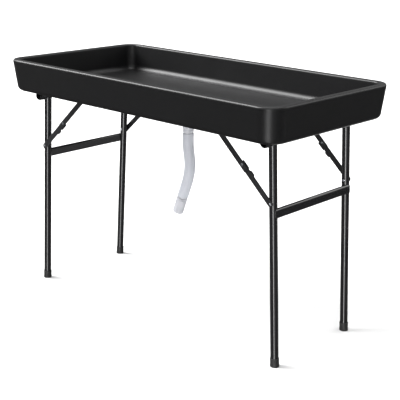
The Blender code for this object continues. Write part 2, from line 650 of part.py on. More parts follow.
def build_drain_seat(looks):
    """The flanged drain body, the gasket it is clamped on, its strainer, and the lock nut under the tub."""
    seat = POCKET_FLOOR + GAP
    under = seat + GASKET_THICKNESS + GAP
    top = under + DRAIN_FLANGE_THICKNESS
    shelf = top - STRAINER_THICKNESS
    bottom = TUB_BOTTOM - DRAIN_TAIL_LENGTH
    gasket = pipe(DRAIN_HOLE, DRAIN_FLANGE_RADIUS, seat, seat + GASKET_THICKNESS)
    finish("drain_gasket", turned(gasket, DRAIN_SIDES), looks["rubber"])
    body = [
        (DRAIN_BORE, shelf),
        (STRAINER_RADIUS + GAP, shelf),
        (STRAINER_RADIUS + GAP, top),
        (DRAIN_FLANGE_RADIUS - DRAIN_EDGE, top),
        (DRAIN_FLANGE_RADIUS, top - DRAIN_EDGE),
        (DRAIN_FLANGE_RADIUS, under),
        (DRAIN_TAIL_RADIUS, under),
        (DRAIN_TAIL_RADIUS, bottom + DRAIN_EDGE),
        (DRAIN_TAIL_RADIUS - DRAIN_EDGE, bottom),
        (DRAIN_BORE, bottom),
    ]
    finish("drain_body", turned(body, DRAIN_SIDES), looks["white"])
    plate = turned(rod(STRAINER_RADIUS, shelf + GAP, top), DRAIN_SIDES)
    strainer = finish("drain_strainer", plate, looks["white"])
    for i in range(STRAINER_SLOTS):
        half = STRAINER_SLOT_WIDTH / 2
        high = (STRAINER_SLOT_END, half, 2 * STRAINER_THICKNESS)
        slot = block((STRAINER_SLOT_START, -half, -DRAIN_EDGE), high)
        turn = 2 * math.pi * i / STRAINER_SLOTS
        cutter = finish("slot_cutter", slot, looks["white"], None, (0, 0, shelf), (0, 0, turn))
        combine(strainer, cutter, "DIFFERENCE")
    nut_bottom = TUB_BOTTOM - GAP - NUT_HEIGHT
    ring = turned(pipe(DRAIN_HOLE, NUT_RADIUS, 0, NUT_HEIGHT), DRAIN_SIDES)
    nut = finish("drain_lock_nut", ring, looks["white"], None, (0, 0, nut_bottom))
    for i in range(NUT_LUGS):
        half = NUT_LUG_HEIGHT / 2
        start = (DRAIN_HOLE + NUT_RADIUS) / 2
        lug = block((start, -half, DRAIN_EDGE), (NUT_RADIUS + NUT_LUG_HEIGHT, half, NUT_HEIGHT - DRAIN_EDGE))
        turn = 2 * math.pi * i / NUT_LUGS
        combine(nut, finish("nut_lug", lug, looks["white"], None, (0, 0, nut_bottom), (0, 0, turn)), "UNION")


def build_hose_adapter(look):
    """The collar that slides over the drain's tail and steps in to the hose."""
    top = TUB_BOTTOM - ADAPTER_TOP_DROP
    floor = top - ADAPTER_SOCKET_DEPTH
    outer = DRAIN_HOLE + ADAPTER_WALL
    end = HOSE_TOP + GAP
    neck = end + ADAPTER_NECK_HEIGHT
    groove = neck + ADAPTER_BAND
    profile = [
        (DRAIN_HOLE, top),
        (outer - DRAIN_EDGE, top),
        (outer, top - DRAIN_EDGE),
        (outer, floor),
        (ADAPTER_RADIUS, floor - ADAPTER_TAPER),
        (ADAPTER_RADIUS, groove + ADAPTER_GROOVE),
        (ADAPTER_RADIUS - ADAPTER_GROOVE, groove),
        (ADAPTER_RADIUS, groove - ADAPTER_GROOVE),
        (ADAPTER_RADIUS, neck + DRAIN_EDGE),
        (ADAPTER_NECK_RADIUS, neck),
        (ADAPTER_NECK_RADIUS, end),
        (ADAPTER_NECK_RADIUS - ADAPTER_NECK_WALL, end),
        (ADAPTER_NECK_RADIUS - ADAPTER_NECK_WALL, floor),
        (DRAIN_HOLE, floor),
    ]
    return finish("hose_adapter", turned(profile, DRAIN_SIDES), look)


def hose_points():
    """The hose's centre line: straight at both ends, and a smooth curve through its route between them."""
    route = [Vector((x, 0, HOSE_TOP - drop)) for x, drop in HOSE_ROUTE]
    points = [route[0]]
    for before, start, end, after in zip(route, route[1:], route[2:], route[3:]):
        for i in range(HOSE_SPAN_POINTS):
            t = i / HOSE_SPAN_POINTS
            place = 2 * start + (end - before) * t
            place += (2 * before - 5 * start + 4 * end - after) * t**2
            place += (3 * start - before - 3 * end + after) * t**3
            points.append(place / 2)
    return points + route[-2:]


def build_hose(looks):
    """The drain hose, and the collared fitting that points the same way as the hose's last run."""
    points = hose_points()
    curve = bpy.data.curves.new("drain_hose", "CURVE")
    curve.dimensions = "3D"
    curve.bevel_depth = HOSE_RADIUS
    curve.bevel_resolution = 4
    curve.use_fill_caps = True
    spline = curve.splines.new("POLY")
    spline.points.add(len(points) - 1)
    for point, place in zip(spline.points, points):
        point.co = (*place, 1)
    curve.materials.append(looks["hose"])
    hose = bpy.data.objects.new("drain_hose", curve)
    bpy.context.scene.collection.objects.link(hose)

    neck = -GAP - FITTING_NECK
    collar = neck - FITTING_COLLAR
    band = collar - 2 * FITTING_GROOVE
    end = -GAP - FITTING_LENGTH
    inner = FITTING_RADIUS - FITTING_WALL
    bore = FITTING_NECK_RADIUS - 2 * FITTING_WALL
    profile = [
        (0, -GAP),
        (FITTING_NECK_RADIUS, -GAP),
        (FITTING_NECK_RADIUS, neck),
        (FITTING_RADIUS, neck - FITTING_GROOVE),
        (FITTING_RADIUS, collar),
        (FITTING_RADIUS - FITTING_GROOVE, collar - FITTING_GROOVE),
        (FITTING_RADIUS, band),
        (FITTING_RADIUS, end),
        (inner, end),
        (inner, band),
        (bore, collar),
        (bore, -GAP - FITTING_WALL),
        (0, -GAP - FITTING_WALL),
    ]
    fitting = finish("hose_end_fitting", turned(profile, DRAIN_SIDES), looks["white"], None, points[-1])
    run = points[-1] - points[-2]
    fitting.rotation_euler = Vector((0, 0, -1)).rotation_difference(run).to_euler()


def main():
    clear_scene()
    looks = {
        "tub": material("tub_plastic", (0.012, 0.012, 0.013), 0.42),
        "leg": material("leg_enamel", (0.006, 0.006, 0.008), 0.18),
        "cap": material("cap_plastic", (0.012, 0.012, 0.012), 0.6),
        "brace": material("brace_steel", (0.014, 0.014, 0.015), 0.45),
        "rivet": material("rivet_steel", (0.6, 0.61, 0.63), 0.3, 1.0),
        "white": material("white_pvc", (0.72, 0.73, 0.76), 0.35),
        "hose": material("hose_vinyl", (0.6, 0.61, 0.65), 0.4),
        "rubber": material("gasket_rubber", (0.02, 0.02, 0.02), 0.7),
    }
    build_tub(looks["tub"])
    build_side("right", 0, looks)
    build_side("left", math.pi, looks)
    build_drain_seat(looks)
    build_hose_adapter(looks["white"])
    build_hose(looks)


main()
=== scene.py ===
import math

import bmesh
import bpy
from mathutils import Matrix, Vector


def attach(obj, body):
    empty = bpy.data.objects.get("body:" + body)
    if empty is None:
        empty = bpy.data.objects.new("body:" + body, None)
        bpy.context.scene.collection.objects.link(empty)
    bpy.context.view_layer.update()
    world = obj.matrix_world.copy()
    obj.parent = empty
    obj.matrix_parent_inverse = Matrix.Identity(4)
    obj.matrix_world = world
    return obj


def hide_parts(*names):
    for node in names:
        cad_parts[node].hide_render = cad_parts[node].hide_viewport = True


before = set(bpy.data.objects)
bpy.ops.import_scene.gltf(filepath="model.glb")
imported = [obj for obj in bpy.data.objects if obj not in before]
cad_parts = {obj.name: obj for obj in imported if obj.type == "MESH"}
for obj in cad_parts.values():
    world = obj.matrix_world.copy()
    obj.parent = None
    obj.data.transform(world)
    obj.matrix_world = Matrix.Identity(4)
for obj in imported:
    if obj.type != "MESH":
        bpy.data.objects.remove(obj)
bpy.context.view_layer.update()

# A folding cooler table. Metres, +X along the tub, -Y to the front, origin on the floor under the middle.
# Leg pieces are modelled for the right-hand frame; the left-hand frame is the same one turned half a turn.

gap = 0.0003  # between pieces that only touch
within = {"joined": 1e-6, "finished": 1e-7, "level": 1e-4}  # how near counts as the same place or height

layout = {
    "pivotX": 0.4969,  # the pivot tube, which a leg frame turns about
    "pivotZ": 0.7055,
    "footX": 0.537,  # where a leg's middle line meets the floor
    "nearY": -0.1679,  # the two legs of the right-hand frame
    "farY": 0.2011,
    "nestShift": 0.0166,  # each frame sits this far off the middle, so that the two fold side by side
    "braceX": 0.2968,  # the brace's pivot in its bracket
    "braceZ": 0.710,
    "legRivetRun": 0.1879,  # from the pivot tube down the leg to the brace's rivet
    "tubeRadius": 0.0127,
    "tubeWall": 0.0015,
    "underside": 0.721,
    "rivetRadius": 0.0031,
}
tube = layout["tubeRadius"]
splay = math.atan2(layout["footX"] - layout["pivotX"], layout["pivotZ"])
legRun = math.hypot(layout["footX"] - layout["pivotX"], layout["pivotZ"])
legRivetX = layout["pivotX"] + layout["legRivetRun"] * math.sin(splay)
legRivetZ = layout["pivotZ"] - layout["legRivetRun"] * math.cos(splay)
braceSpan = math.hypot(legRivetX - layout["braceX"], layout["braceZ"] - legRivetZ)
bracePitch = math.atan2(layout["braceZ"] - legRivetZ, legRivetX - layout["braceX"])

# how many steps draw each round
steps = {
    "tube": 56,
    "drain": 72,
    "rivet": 40,
    "screw": 36,
    "peened": 32,
    "dome": 8,
    "corner": 8,
    "bend": 6,
    "strap": 28,
    "lip": 4,
    "flange": 5,
    "planCorner": 20,
    "rimOuter": 7,
    "rimInner": 6,
    "tubEdge": 9,
    "ringWeld": 96,
    "barWeld": 28,
}


def shift(x, y, z):
    return Matrix.Translation((x, y, z))


def turned(degrees, axis):
    return Matrix.Rotation(math.radians(degrees), 4, axis)


legSpace = shift(layout["pivotX"], 0, layout["pivotZ"]) @ Matrix.Rotation(-splay, 4, "Y")
upperSpace = shift(layout["braceX"], 0, layout["braceZ"]) @ Matrix.Rotation(bracePitch, 4, "Y")
lowerSpace = shift(legRivetX, 0, legRivetZ) @ Matrix.Rotation(bracePitch + math.pi, 4, "Y")

# side, its turn about Z, and its two legs: name, y, and which way along Y the brace stands off the leg
sides = (
    ("right", 0, (("front", layout["nearY"], -1), ("back", layout["farY"], 1))),
    ("left", 180, (("back", layout["nearY"], -1), ("front", layout["farY"], 1))),
)

# the photograph's camera: degrees, and millimetres for the lens
view = {
    "place": (2.1447, -2.2518, 1.345),
    "azimuth": 42.8193,
    "down": 17.231,
    "roll": 0.84,
    "lens": 84.80,
    "sensor": 36,
}


def inScene(name, data):
    item = bpy.data.objects.new(name, data)
    bpy.context.scene.collection.objects.link(item)
    return item


def makeCamera():
    data = bpy.data.cameras.new("photoCamera")
    data.lens = view["lens"]
    data.sensor_width = view["sensor"]
    camera = inScene("photoCamera", data)
    tip = turned(view["azimuth"], "Z") @ turned(90 - view["down"], "X") @ turned(view["roll"], "Z")
    camera.matrix_world = shift(*view["place"]) @ tip
    bpy.context.scene.camera = camera


makeCamera()
print("camera placed")


def linearColour(code):
    # an sRGB hex code by the sRGB curve
    channels = [int(code[i : i + 2], 16) / 255 for i in (1, 3, 5)]
    return tuple(c / 12.92 if c <= 0.04045 else ((c + 0.055) / 1.055) ** 2.4 for c in channels) + (1.0,)


def addNode(tree, kind, settings, links=()):
    # a setting is named by its socket, by the socket's number, or as the node's own property
    # a link is (from node, its output, to node, its input), and None stands for the node that is added
    node = tree.nodes.new(kind)
    for name, value in settings.items():
        if isinstance(name, int) or name in node.inputs:
            node.inputs[name].default_value = value
        else:
            setattr(node, name, value)
    for source, output, target, socket in links:
        tree.links.new((source or node).outputs[output], (target or node).inputs[socket])
    return node


def startMaterial(name, look, settings):
    made = bpy.data.materials.new(name)
    made.use_nodes = True
    tree = made.node_tree
    shader = tree.nodes["Principled BSDF"]
    shader.inputs["Base Color"].default_value = linearColour(look["colour"])
    shader.inputs["Roughness"].default_value = look["dull"]
    for socket, value in settings.items():
        shader.inputs[socket].default_value = value
    return made, tree, shader, addNode(tree, "ShaderNodeTexCoord", {})


def patternedMaterial(name, look, settings):
    # a look's patterns are noises, each by its size in millimetres and its detail
    # the first moves the roughness and any second colour, and the last, often the same, stands proud
    made, tree, shader, place = startMaterial(name, look, settings)
    vector = (place, "Object", None, "Vector")
    if "stretch" in look:
        longer = addNode(tree, "ShaderNodeMapping", {"Scale": look["stretch"]}, [vector])
        vector = (longer, "Vector", None, "Vector")
    patterns = []
    for size, detail in look["patterns"]:
        noise = {"Scale": 1000 / size, "Detail": detail}
        patterns.append(addNode(tree, "ShaderNodeTexNoise", noise, [vector]))
    gloss, relief = patterns[0], patterns[-1]
    low, high = look.get("patchEnds", (0.0, 1.0))
    addNode(tree, "ShaderNodeMapRange", {
        "From Min": low,
        "From Max": high,
        "To Min": look["bright"],
        "To Max": look["dull"],
    }, [
        (gloss, "Fac", None, "Value"),
        (None, "Result", shader, "Roughness"),
    ])
    below = []
    if "rippleReliefMm" in look:
        slow = {"Distance": look["rippleReliefMm"] / 1000, "Strength": look["bump"]}
        waves = addNode(tree, "ShaderNodeBump", slow, [(gloss, "Fac", None, "Height")])
        below = [(waves, "Normal", None, "Normal")]
    addNode(tree, "ShaderNodeBump", {"Distance": look["reliefMm"] / 1000, "Strength": look["bump"]}, [
        (relief, "Fac", None, "Height"),
        (None, "Normal", shader, "Normal"),
        *below,
    ])
    if "shade" in look:
        # a colour Mix has its colours at inputs 6 and 7, and its result at output 2
        addNode(tree, "ShaderNodeMix", {
            "data_type": "RGBA",
            6: linearColour(look["colour"]),
            7: linearColour(look["shade"]),
        }, [
            (gloss, "Fac", None, 0),
            (None, 2, shader, "Base Color"),
        ])
    return made


def makeTubPlastic():
    # HDPE, blow moulded: satin, a spark-eroded grain, and slow ripples that make its highlights wander
    look = {
        "colour": "#0e0e0f", "bright": 0.36, "dull": 0.44, "bump": 0.5,
        "patterns": ((110, 2.0), (1.1, 3.0)),  # the ripples, and the grain
        "rippleReliefMm": 2, "reliefMm": 0.1,
    }
    return patternedMaterial("hdpeBlowMoulded", look, {"IOR": 1.53, "Specular IOR Level": 0.26})


def makeLegEnamel():
    # Steel tube, powder coated gloss black: one sharp highlight along it, which the orange peel makes waver
    look = {
        "colour": "#111113", "bright": 0.13, "dull": 0.2, "bump": 0.5,
        "patterns": ((5, 1.0),), "reliefMm": 0.02,
    }
    return patternedMaterial("steelPowderCoatedGloss", look, {
        "IOR": 1.5,
        "Specular IOR Level": 0.5,
        "Coat Weight": 0.3,
        "Coat Roughness": 0.08,
    })


def makeBraceSteel():
    # Steel strip, stamped and painted satin black: softer than the legs, with patches that folding has rubbed
    look = {
        "colour": "#18181a", "bright": 0.3, "dull": 0.48, "bump": 0.5,
        "patterns": ((11, 4.0), (1.5, 1.0)),  # the rubbed patches, and the paint's peel
        "patchEnds": (0.38, 0.62),  # how sharply a patch ends
        "reliefMm": 0.06,
    }
    return patternedMaterial("steelStripPainted", look, {"IOR": 1.5})


def makeCapPlastic():
    # LDPE, injection moulded: matte, with a pebble grain that kills the highlight the steel above it has
    look = {
        "colour": "#1b1b1b", "bright": 0.5, "dull": 0.72, "bump": 0.6,
        "patterns": ((0.8, 2.0),), "reliefMm": 0.12,
    }
    return patternedMaterial("ldpeMoulded", look, {"IOR": 1.51})


def makeRivetSteel():
    # Steel, cold headed and zinc plated: bright, with the faint grey mottle of the plating
    look = {
        "colour": "#c9ccd1", "shade": "#9a9ea4", "bright": 0.18, "dull": 0.36, "bump": 0.5,
        "patterns": ((1.6, 3.0),), "reliefMm": 0.04,
    }
    return patternedMaterial("steelZincPlated", look, {"Metallic": 1.0})


def makeWhitePvc():
    # PVC, injection moulded white: half gloss, with flow marks, and light that sinks a little way in
    look = {
        "colour": "#bebec3", "shade": "#aeb0b6", "bright": 0.26, "dull": 0.42, "bump": 0.3,
        "patterns": ((16, 2.0),), "reliefMm": 0.2, "sinkMm": 4,
    }
    return patternedMaterial("pvcMouldedWhite", look, {
        "IOR": 1.53,
        "Subsurface Weight": 0.2,
        "Subsurface Radius": (1.0, 1.0, 1.0),
        "Subsurface Scale": look["sinkMm"] / 1000,
    })


def makeHoseVinyl():
    # Vinyl, extruded: milky, soft gloss, with the die's draw lines running down it, stretched twenty times
    look = {
        "colour": "#bfc1c7", "shade": "#adb0b8", "bright": 0.3, "dull": 0.46, "bump": 0.4,
        "patterns": ((3.2, 2.0),), "stretch": (1.0, 1.0, 0.05), "reliefMm": 0.3, "sinkMm": 6,
    }
    return patternedMaterial("vinylExtruded", look, {
        "IOR": 1.52,
        "Subsurface Weight": 0.35,
        "Subsurface Radius": (1.0, 1.0, 1.0),
        "Subsurface Scale": look["sinkMm"] / 1000,
    })


def makeGasketRubber():
    # EPDM, die cut from sheet: dead matte and slightly dusty
    look = {
        "colour": "#1a1a1b", "bright": 0.74, "dull": 0.9, "bump": 0.6,
        "patterns": ((0.6, 2.0),), "reliefMm": 0.1,
    }
    return patternedMaterial("epdmDieCut", look, {})


tubPlastic = makeTubPlastic()
legEnamel = makeLegEnamel()
braceSteel = makeBraceSteel()
capPlastic = makeCapPlastic()
rivetSteel = makeRivetSteel()
whitePvc = makeWhitePvc()
hoseVinyl = makeHoseVinyl()
gasketRubber = makeGasketRubber()
print("materials made")

hose = {
    "radius": 0.0190,
    "top": 0.6165,
    # how far along X and how far down its centre line goes
    "route": (
        (0.0000, 0.0000),
        (0.0000, 0.0305),
        (0.0030, 0.0625),
        (0.0085, 0.0955),
        (0.0080, 0.1280),
        (0.0006, 0.1620),
        (-0.0110, 0.1945),
        (-0.0222, 0.2245),
    ),
    "pointsPerRun": 4,
    "sections": 14,
}


def hosePoints():
    # straight at both ends, and a smooth Catmull-Rom curve through the route between them
    route = [Vector((x, 0, hose["top"] - drop)) for x, drop in hose["route"]]
    points = [route[0]]
    for before, start, end, after in zip(route, route[1:], route[2:], route[3:]):
        for i in range(hose["pointsPerRun"]):
            t = i / hose["pointsPerRun"]
            place = 2 * start + (end - before) * t
            place += (2 * before - 5 * start + 4 * end - after) * t**2
            place += (3 * start - before - 3 * end + after) * t**3
            points.append(place / 2)
    return points + route[-2:]


def ridingPiece(name, data, look, body):
    data.materials.append(look)
    piece = inScene(name, data)
    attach(piece, body)
    return piece


def makeWire(name, points, radius, look, body, sections, closed=False):
    # a round bead or hose along points, each (place, thickness factor)
    curve = bpy.data.curves.new(name, "CURVE")
    curve.dimensions = "3D"
    curve.bevel_depth = radius
    curve.bevel_resolution = sections
    curve.use_fill_caps = True
    spline = curve.splines.new("POLY")
    spline.use_cyclic_u = closed
    spline.points.add(len(points) - 1)
    for point, (place, thickness) in zip(spline.points, points):
        point.co = (*place, 1)
        point.radius = thickness
    spline.use_smooth = True
    return ridingPiece(name, curve, look, body)


hoseLine = hosePoints()
hosePath = [(place, 1.0) for place in hoseLine]
hoseTube = makeWire("hoseTube", hosePath, hose["radius"], hoseVinyl, "tub", hose["sections"])
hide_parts("drain_hose")
print("hose laid")


def meshData(name, mesh):
    data = bpy.data.meshes.new(name)
    mesh.to_mesh(data)
    mesh.free()
    return data


def finishPiece(name, mesh, look, body, node=None, sharp=40):
    bmesh.ops.remove_doubles(mesh, verts=mesh.verts, dist=within["finished"])
    bmesh.ops.recalc_face_normals(mesh, faces=mesh.faces)
    data = meshData(name, mesh)
    data.shade_smooth()
    data.set_sharp_from_angle(angle=math.radians(sharp))
    piece = ridingPiece(name, data, look, body)
    even = piece.modifiers.new("evenShading", "WEIGHTED_NORMAL")
    even.keep_sharp = True
    if node:
        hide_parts(node)
    return piece


def moved(mesh, *moves):
    # the last move given is made first, as in a product of matrices
    whole = Matrix.Identity(4)
    for move in moves:
        whole = whole @ move
    bmesh.ops.transform(mesh, matrix=whole, verts=mesh.verts)
    return mesh


def carved(mesh, tools, operation="DIFFERENCE"):
    target = inScene("carveTarget", meshData("carveTarget", mesh))
    shapes = []
    for tool in tools:
        bmesh.ops.recalc_face_normals(tool, faces=tool.faces)
        shape = inScene("carveTool", meshData("carveTool", tool))
        cut = target.modifiers.new("carve", "BOOLEAN")
        cut.operation = operation
        cut.solver = "EXACT"
        cut.object = shape
        shapes.append(shape)
    bpy.context.view_layer.update()
    result = bmesh.new()
    result.from_object(target, bpy.context.evaluated_depsgraph_get())
    for item in [target] + shapes:
        bpy.data.objects.remove(item, do_unlink=True)
    bmesh.ops.remove_doubles(result, verts=result.verts, dist=within["joined"])
    return result


def arcPoints(centre, radius, start, end, count):
    points = []
    for i in range(count + 1):
        angle = math.radians(start + (end - start) * i / count)
        points.append((centre[0] + radius * math.cos(angle), centre[1] + radius * math.sin(angle)))
    return points


def spun(profile, count, alongY=False):
    # a closed profile of (radius, height), turned about Z, or about Y with its heights along +Y
    mesh = bmesh.new()
    points = [mesh.verts.new((radius, 0, height)) for radius, height in profile]
    for first, second in zip(points, points[1:] + points[:1]):
        if first.co.x > 0 or second.co.x > 0:
            mesh.edges.new((first, second))
    bmesh.ops.spin(
        mesh, geom=mesh.verts[:] + mesh.edges[:], cent=(0, 0, 0), axis=(0, 0, 1), angle=2 * math.pi,
        steps=count, use_merge=True, use_duplicate=False,
    )
    bmesh.ops.remove_doubles(mesh, verts=mesh.verts, dist=within["joined"])
    if alongY:
        lying = Matrix.Rotation(math.radians(-90), 3, "X")
        bmesh.ops.rotate(mesh, verts=mesh.verts, cent=(0, 0, 0), matrix=lying)
    bmesh.ops.recalc_face_normals(mesh, faces=mesh.faces)
    return mesh


def ringProfile(inner, outer, low, high):
    return [(inner, high), (outer, high), (outer, low), (inner, low)]


def roundOff(mesh, items, radius, segments, kind="EDGES"):
    # rounds stop where two edges' would overlap; a flat shape's corners are kept to the size they are given
    bmesh.ops.bevel(
        mesh, geom=items, offset=radius, offset_type="OFFSET", segments=segments, profile=0.5,
        affect=kind, material=-1, clamp_overlap=kind == "EDGES",
    )
    return mesh


def softened(mesh, radius, segments=2, angle=40):
    sharp = [e for e in mesh.edges if len(e.link_faces) == 2 and e.calc_face_angle() > math.radians(angle)]
    return roundOff(mesh, sharp, radius, segments)


def flatShape(corners):
    # a face in the XZ plane from (x, z, corner radius)
    mesh = bmesh.new()
    points = [mesh.verts.new((x, 0, z)) for x, z, radius in corners]
    mesh.faces.new(points)
    for point, (x, z, radius) in zip(points, corners):
        if radius > 0:
            roundOff(mesh, [point], radius, steps["corner"], "VERTICES")
    bmesh.ops.remove_doubles(mesh, verts=mesh.verts, dist=within["joined"])
    return mesh


def roundEnded(start, end, half):
    # a flat shape from start to end along X, whose ends are half circles
    return flatShape([(start, -half, half), (end, -half, half), (end, half, half), (start, half, half)])


def onlyVerts(items):
    return [item for item in items if isinstance(item, bmesh.types.BMVert)]


def onlyEdges(items):
    return [item for item in items if isinstance(item, bmesh.types.BMEdge)]


def sliced(mesh, point, normal, clear=False):
    every = mesh.verts[:] + mesh.edges[:] + mesh.faces[:]
    return bmesh.ops.bisect_plane(mesh, geom=every, plane_co=point, plane_no=normal, clear_outer=clear)


def thickened(mesh, y, thickness):
    # a flat shape pushed out along +Y from y
    pushed = bmesh.ops.extrude_face_region(mesh, geom=mesh.faces[:])
    bmesh.ops.translate(mesh, verts=onlyVerts(pushed["geom"]), vec=(0, thickness, 0))
    bmesh.ops.translate(mesh, verts=mesh.verts, vec=(0, y, 0))
    bmesh.ops.recalc_face_normals(mesh, faces=mesh.faces)
    return mesh


def block(low, high):
    mesh = bmesh.new()
    bmesh.ops.create_cube(mesh, size=1)
    low, high = Vector(low), Vector(high)
    bmesh.ops.scale(mesh, verts=mesh.verts, vec=high - low)
    bmesh.ops.translate(mesh, verts=mesh.verts, vec=(low + high) / 2)
    return mesh


def bentSheet(line, x, width, bends, bendRadius, thickness):
    # a strip along (y, z) points, width wide from x, bent round at the numbered ones, with its wall below it
    mesh = bmesh.new()
    points = [mesh.verts.new((x, y, z)) for y, z in line]
    runs = [mesh.edges.new(pair) for pair in zip(points, points[1:])]
    pushed = bmesh.ops.extrude_edge_only(mesh, edges=runs)
    bmesh.ops.translate(mesh, verts=onlyVerts(pushed["geom"]), vec=(width, 0, 0))
    corners = [Vector(line[i]) for i in bends]
    near = within["joined"]
    folds = []
    for edge in mesh.edges:
        a, b = (Vector(v.co[1:]) for v in edge.verts)
        if (a - b).length < near and any((a - corner).length < near for corner in corners):
            folds.append(edge)
    roundOff(mesh, folds, bendRadius, steps["bend"])
    bmesh.ops.recalc_face_normals(mesh, faces=mesh.faces)
    if sum(face.normal.z * face.calc_area() for face in mesh.faces) < 0:
        bmesh.ops.reverse_faces(mesh, faces=mesh.faces)
    bmesh.ops.solidify(mesh, geom=mesh.faces[:], thickness=thickness)
    bmesh.ops.recalc_face_normals(mesh, faces=mesh.faces)
    return mesh


def domeLine(radius, height, base):
    # from the crown of a head to its rim
    sphere = (radius * radius + height * height) / (2 * height)
    spread = math.degrees(math.asin(radius / sphere))
    crown = base + height
    return [(0, crown)] + arcPoints((0, crown - sphere), sphere, 90, 90 - spread, steps["dome"])[1:]


tub = {
    "length": 1.200,
    "width": 0.600,
    "top": 0.832,
    "endDraft": 0.0075,
    "sideDraft": 0.0125,
    "planCorner": 0.060,
    "rimWidth": 0.025,
    "rimOuterRound": 0.008,
    "rimInnerRound": 0.006,
    "bottomRound": 0.0165,
    "basinDraft": 0.008,
    "basinFloor": 0.736,
    "basinRound": 0.020,
    "drainFloor": 0.733,
    "pocketFloor": 0.7276,
    "pocketRadius": 0.030,
    "pocketEdge": 0.0012,
    "holeRadius": 0.0183,
    "grooveDepth": 0.003,
    "grooveWidth": 0.018,
    "grooveEnds": (0.048, 0.4544),
    "grooveRows": (-0.084, -0.028, 0.028, 0.084),
    "partingHeight": 0.8222,  # where the two halves of the mould met
    "partingRidge": 0.0003,
}


def isLevel(item, height):
    return all(abs(v.co.z - height) < within["level"] for v in item.verts)


def flatFaces(mesh, height):
    level = [f for f in mesh.faces if isLevel(f, height)]
    return sorted(level, key=lambda face: -face.calc_area())


def fromRimEdge(point):
    # how far inside the tub's outline a point is, seen from above
    reachX = abs(point.x) - (tub["length"] / 2 - tub["planCorner"])
    reachY = abs(point.y) - (tub["width"] / 2 - tub["planCorner"])
    outside = math.hypot(max(reachX, 0), max(reachY, 0)) + min(max(reachX, reachY), 0)
    return tub["planCorner"] - outside


def rimLoop(mesh, isOuter):
    # the edges all round the rim's flat top, on its outer or its inner side
    level = [e for e in mesh.edges if isLevel(e, tub["top"])]
    return [e for e in level if all((fromRimEdge(v.co) < tub["rimWidth"] / 2) == isOuter for v in e.verts)]


def grooveTool(x, y):
    half = (tub["grooveEnds"][1] - tub["grooveEnds"][0]) / 2
    depth = tub["grooveDepth"]
    foot = 0.001  # a thin plate, whose lid is then drawn in and up past the underside as the groove's slopes
    mesh = thickened(roundEnded(-half - depth, half + depth, tub["grooveWidth"] / 2 + depth), 0, foot)
    moved(mesh, shift(x, y, layout["underside"] - depth - foot), turned(90, "X"))
    lid = max(mesh.faces, key=lambda face: face.calc_center_median().z)
    bmesh.ops.inset_region(mesh, faces=[lid], thickness=2 * depth, depth=2 * depth, use_even_offset=True)
    return mesh


def drawnToCircle(mesh, loop, radius, height):
    # new faces from a loop of edges to an even circle about Z, whose edges are given back
    grown = bmesh.ops.extrude_edge_only(mesh, edges=loop)["geom"]
    fresh = sorted(onlyVerts(grown), key=lambda vert: math.atan2(vert.co.y, vert.co.x))
    for i, vert in enumerate(fresh):
        angle = 2 * math.pi * (i + 0.5) / len(fresh) - math.pi
        vert.co = (radius * math.cos(angle), radius * math.sin(angle), height)
    return [edge for edge in onlyEdges(grown) if all(vert in fresh for vert in edge.verts)]


def openDrain(mesh, bottom):
    # a pocket in the basin floor that steps in to a hole down through the underside
    under = flatFaces(mesh, bottom)[0]
    floor = flatFaces(mesh, tub["basinFloor"])[0]
    underLoop, loop = under.edges[:], floor.edges[:]
    bmesh.ops.delete(mesh, geom=[under, floor], context="FACES_ONLY")
    for radius, height in (
        (tub["pocketRadius"] + tub["pocketEdge"], tub["drainFloor"]),
        (tub["pocketRadius"], tub["drainFloor"] - tub["pocketEdge"]),
        (tub["pocketRadius"], tub["pocketFloor"]),
        (tub["holeRadius"], tub["pocketFloor"]),
        (tub["holeRadius"], bottom),
    ):
        loop = drawnToCircle(mesh, loop, radius, height)
    drawnToCircle(mesh, underLoop, tub["holeRadius"], bottom)
    bmesh.ops.remove_doubles(mesh, verts=mesh.verts, dist=within["joined"])
    bmesh.ops.recalc_face_normals(mesh, faces=mesh.faces)


def raiseParting(mesh):
    # the fine ridge where the mould halves met
    low = tub["partingHeight"]
    high = low + 2 * tub["partingRidge"]
    for height in (low, high):
        sliced(mesh, (0, 0, height), (0, 0, 1))
    band = []
    for face in mesh.faces:
        heights = [v.co.z for v in face.verts]
        inBand = min(heights) > low - within["level"] and max(heights) < high + within["level"]
        if inBand and fromRimEdge(face.calc_center_median()) < tub["rimOuterRound"]:
            band.append(face)
    bmesh.ops.inset_region(mesh, faces=band, thickness=0.0, depth=tub["partingRidge"], use_even_offset=True)


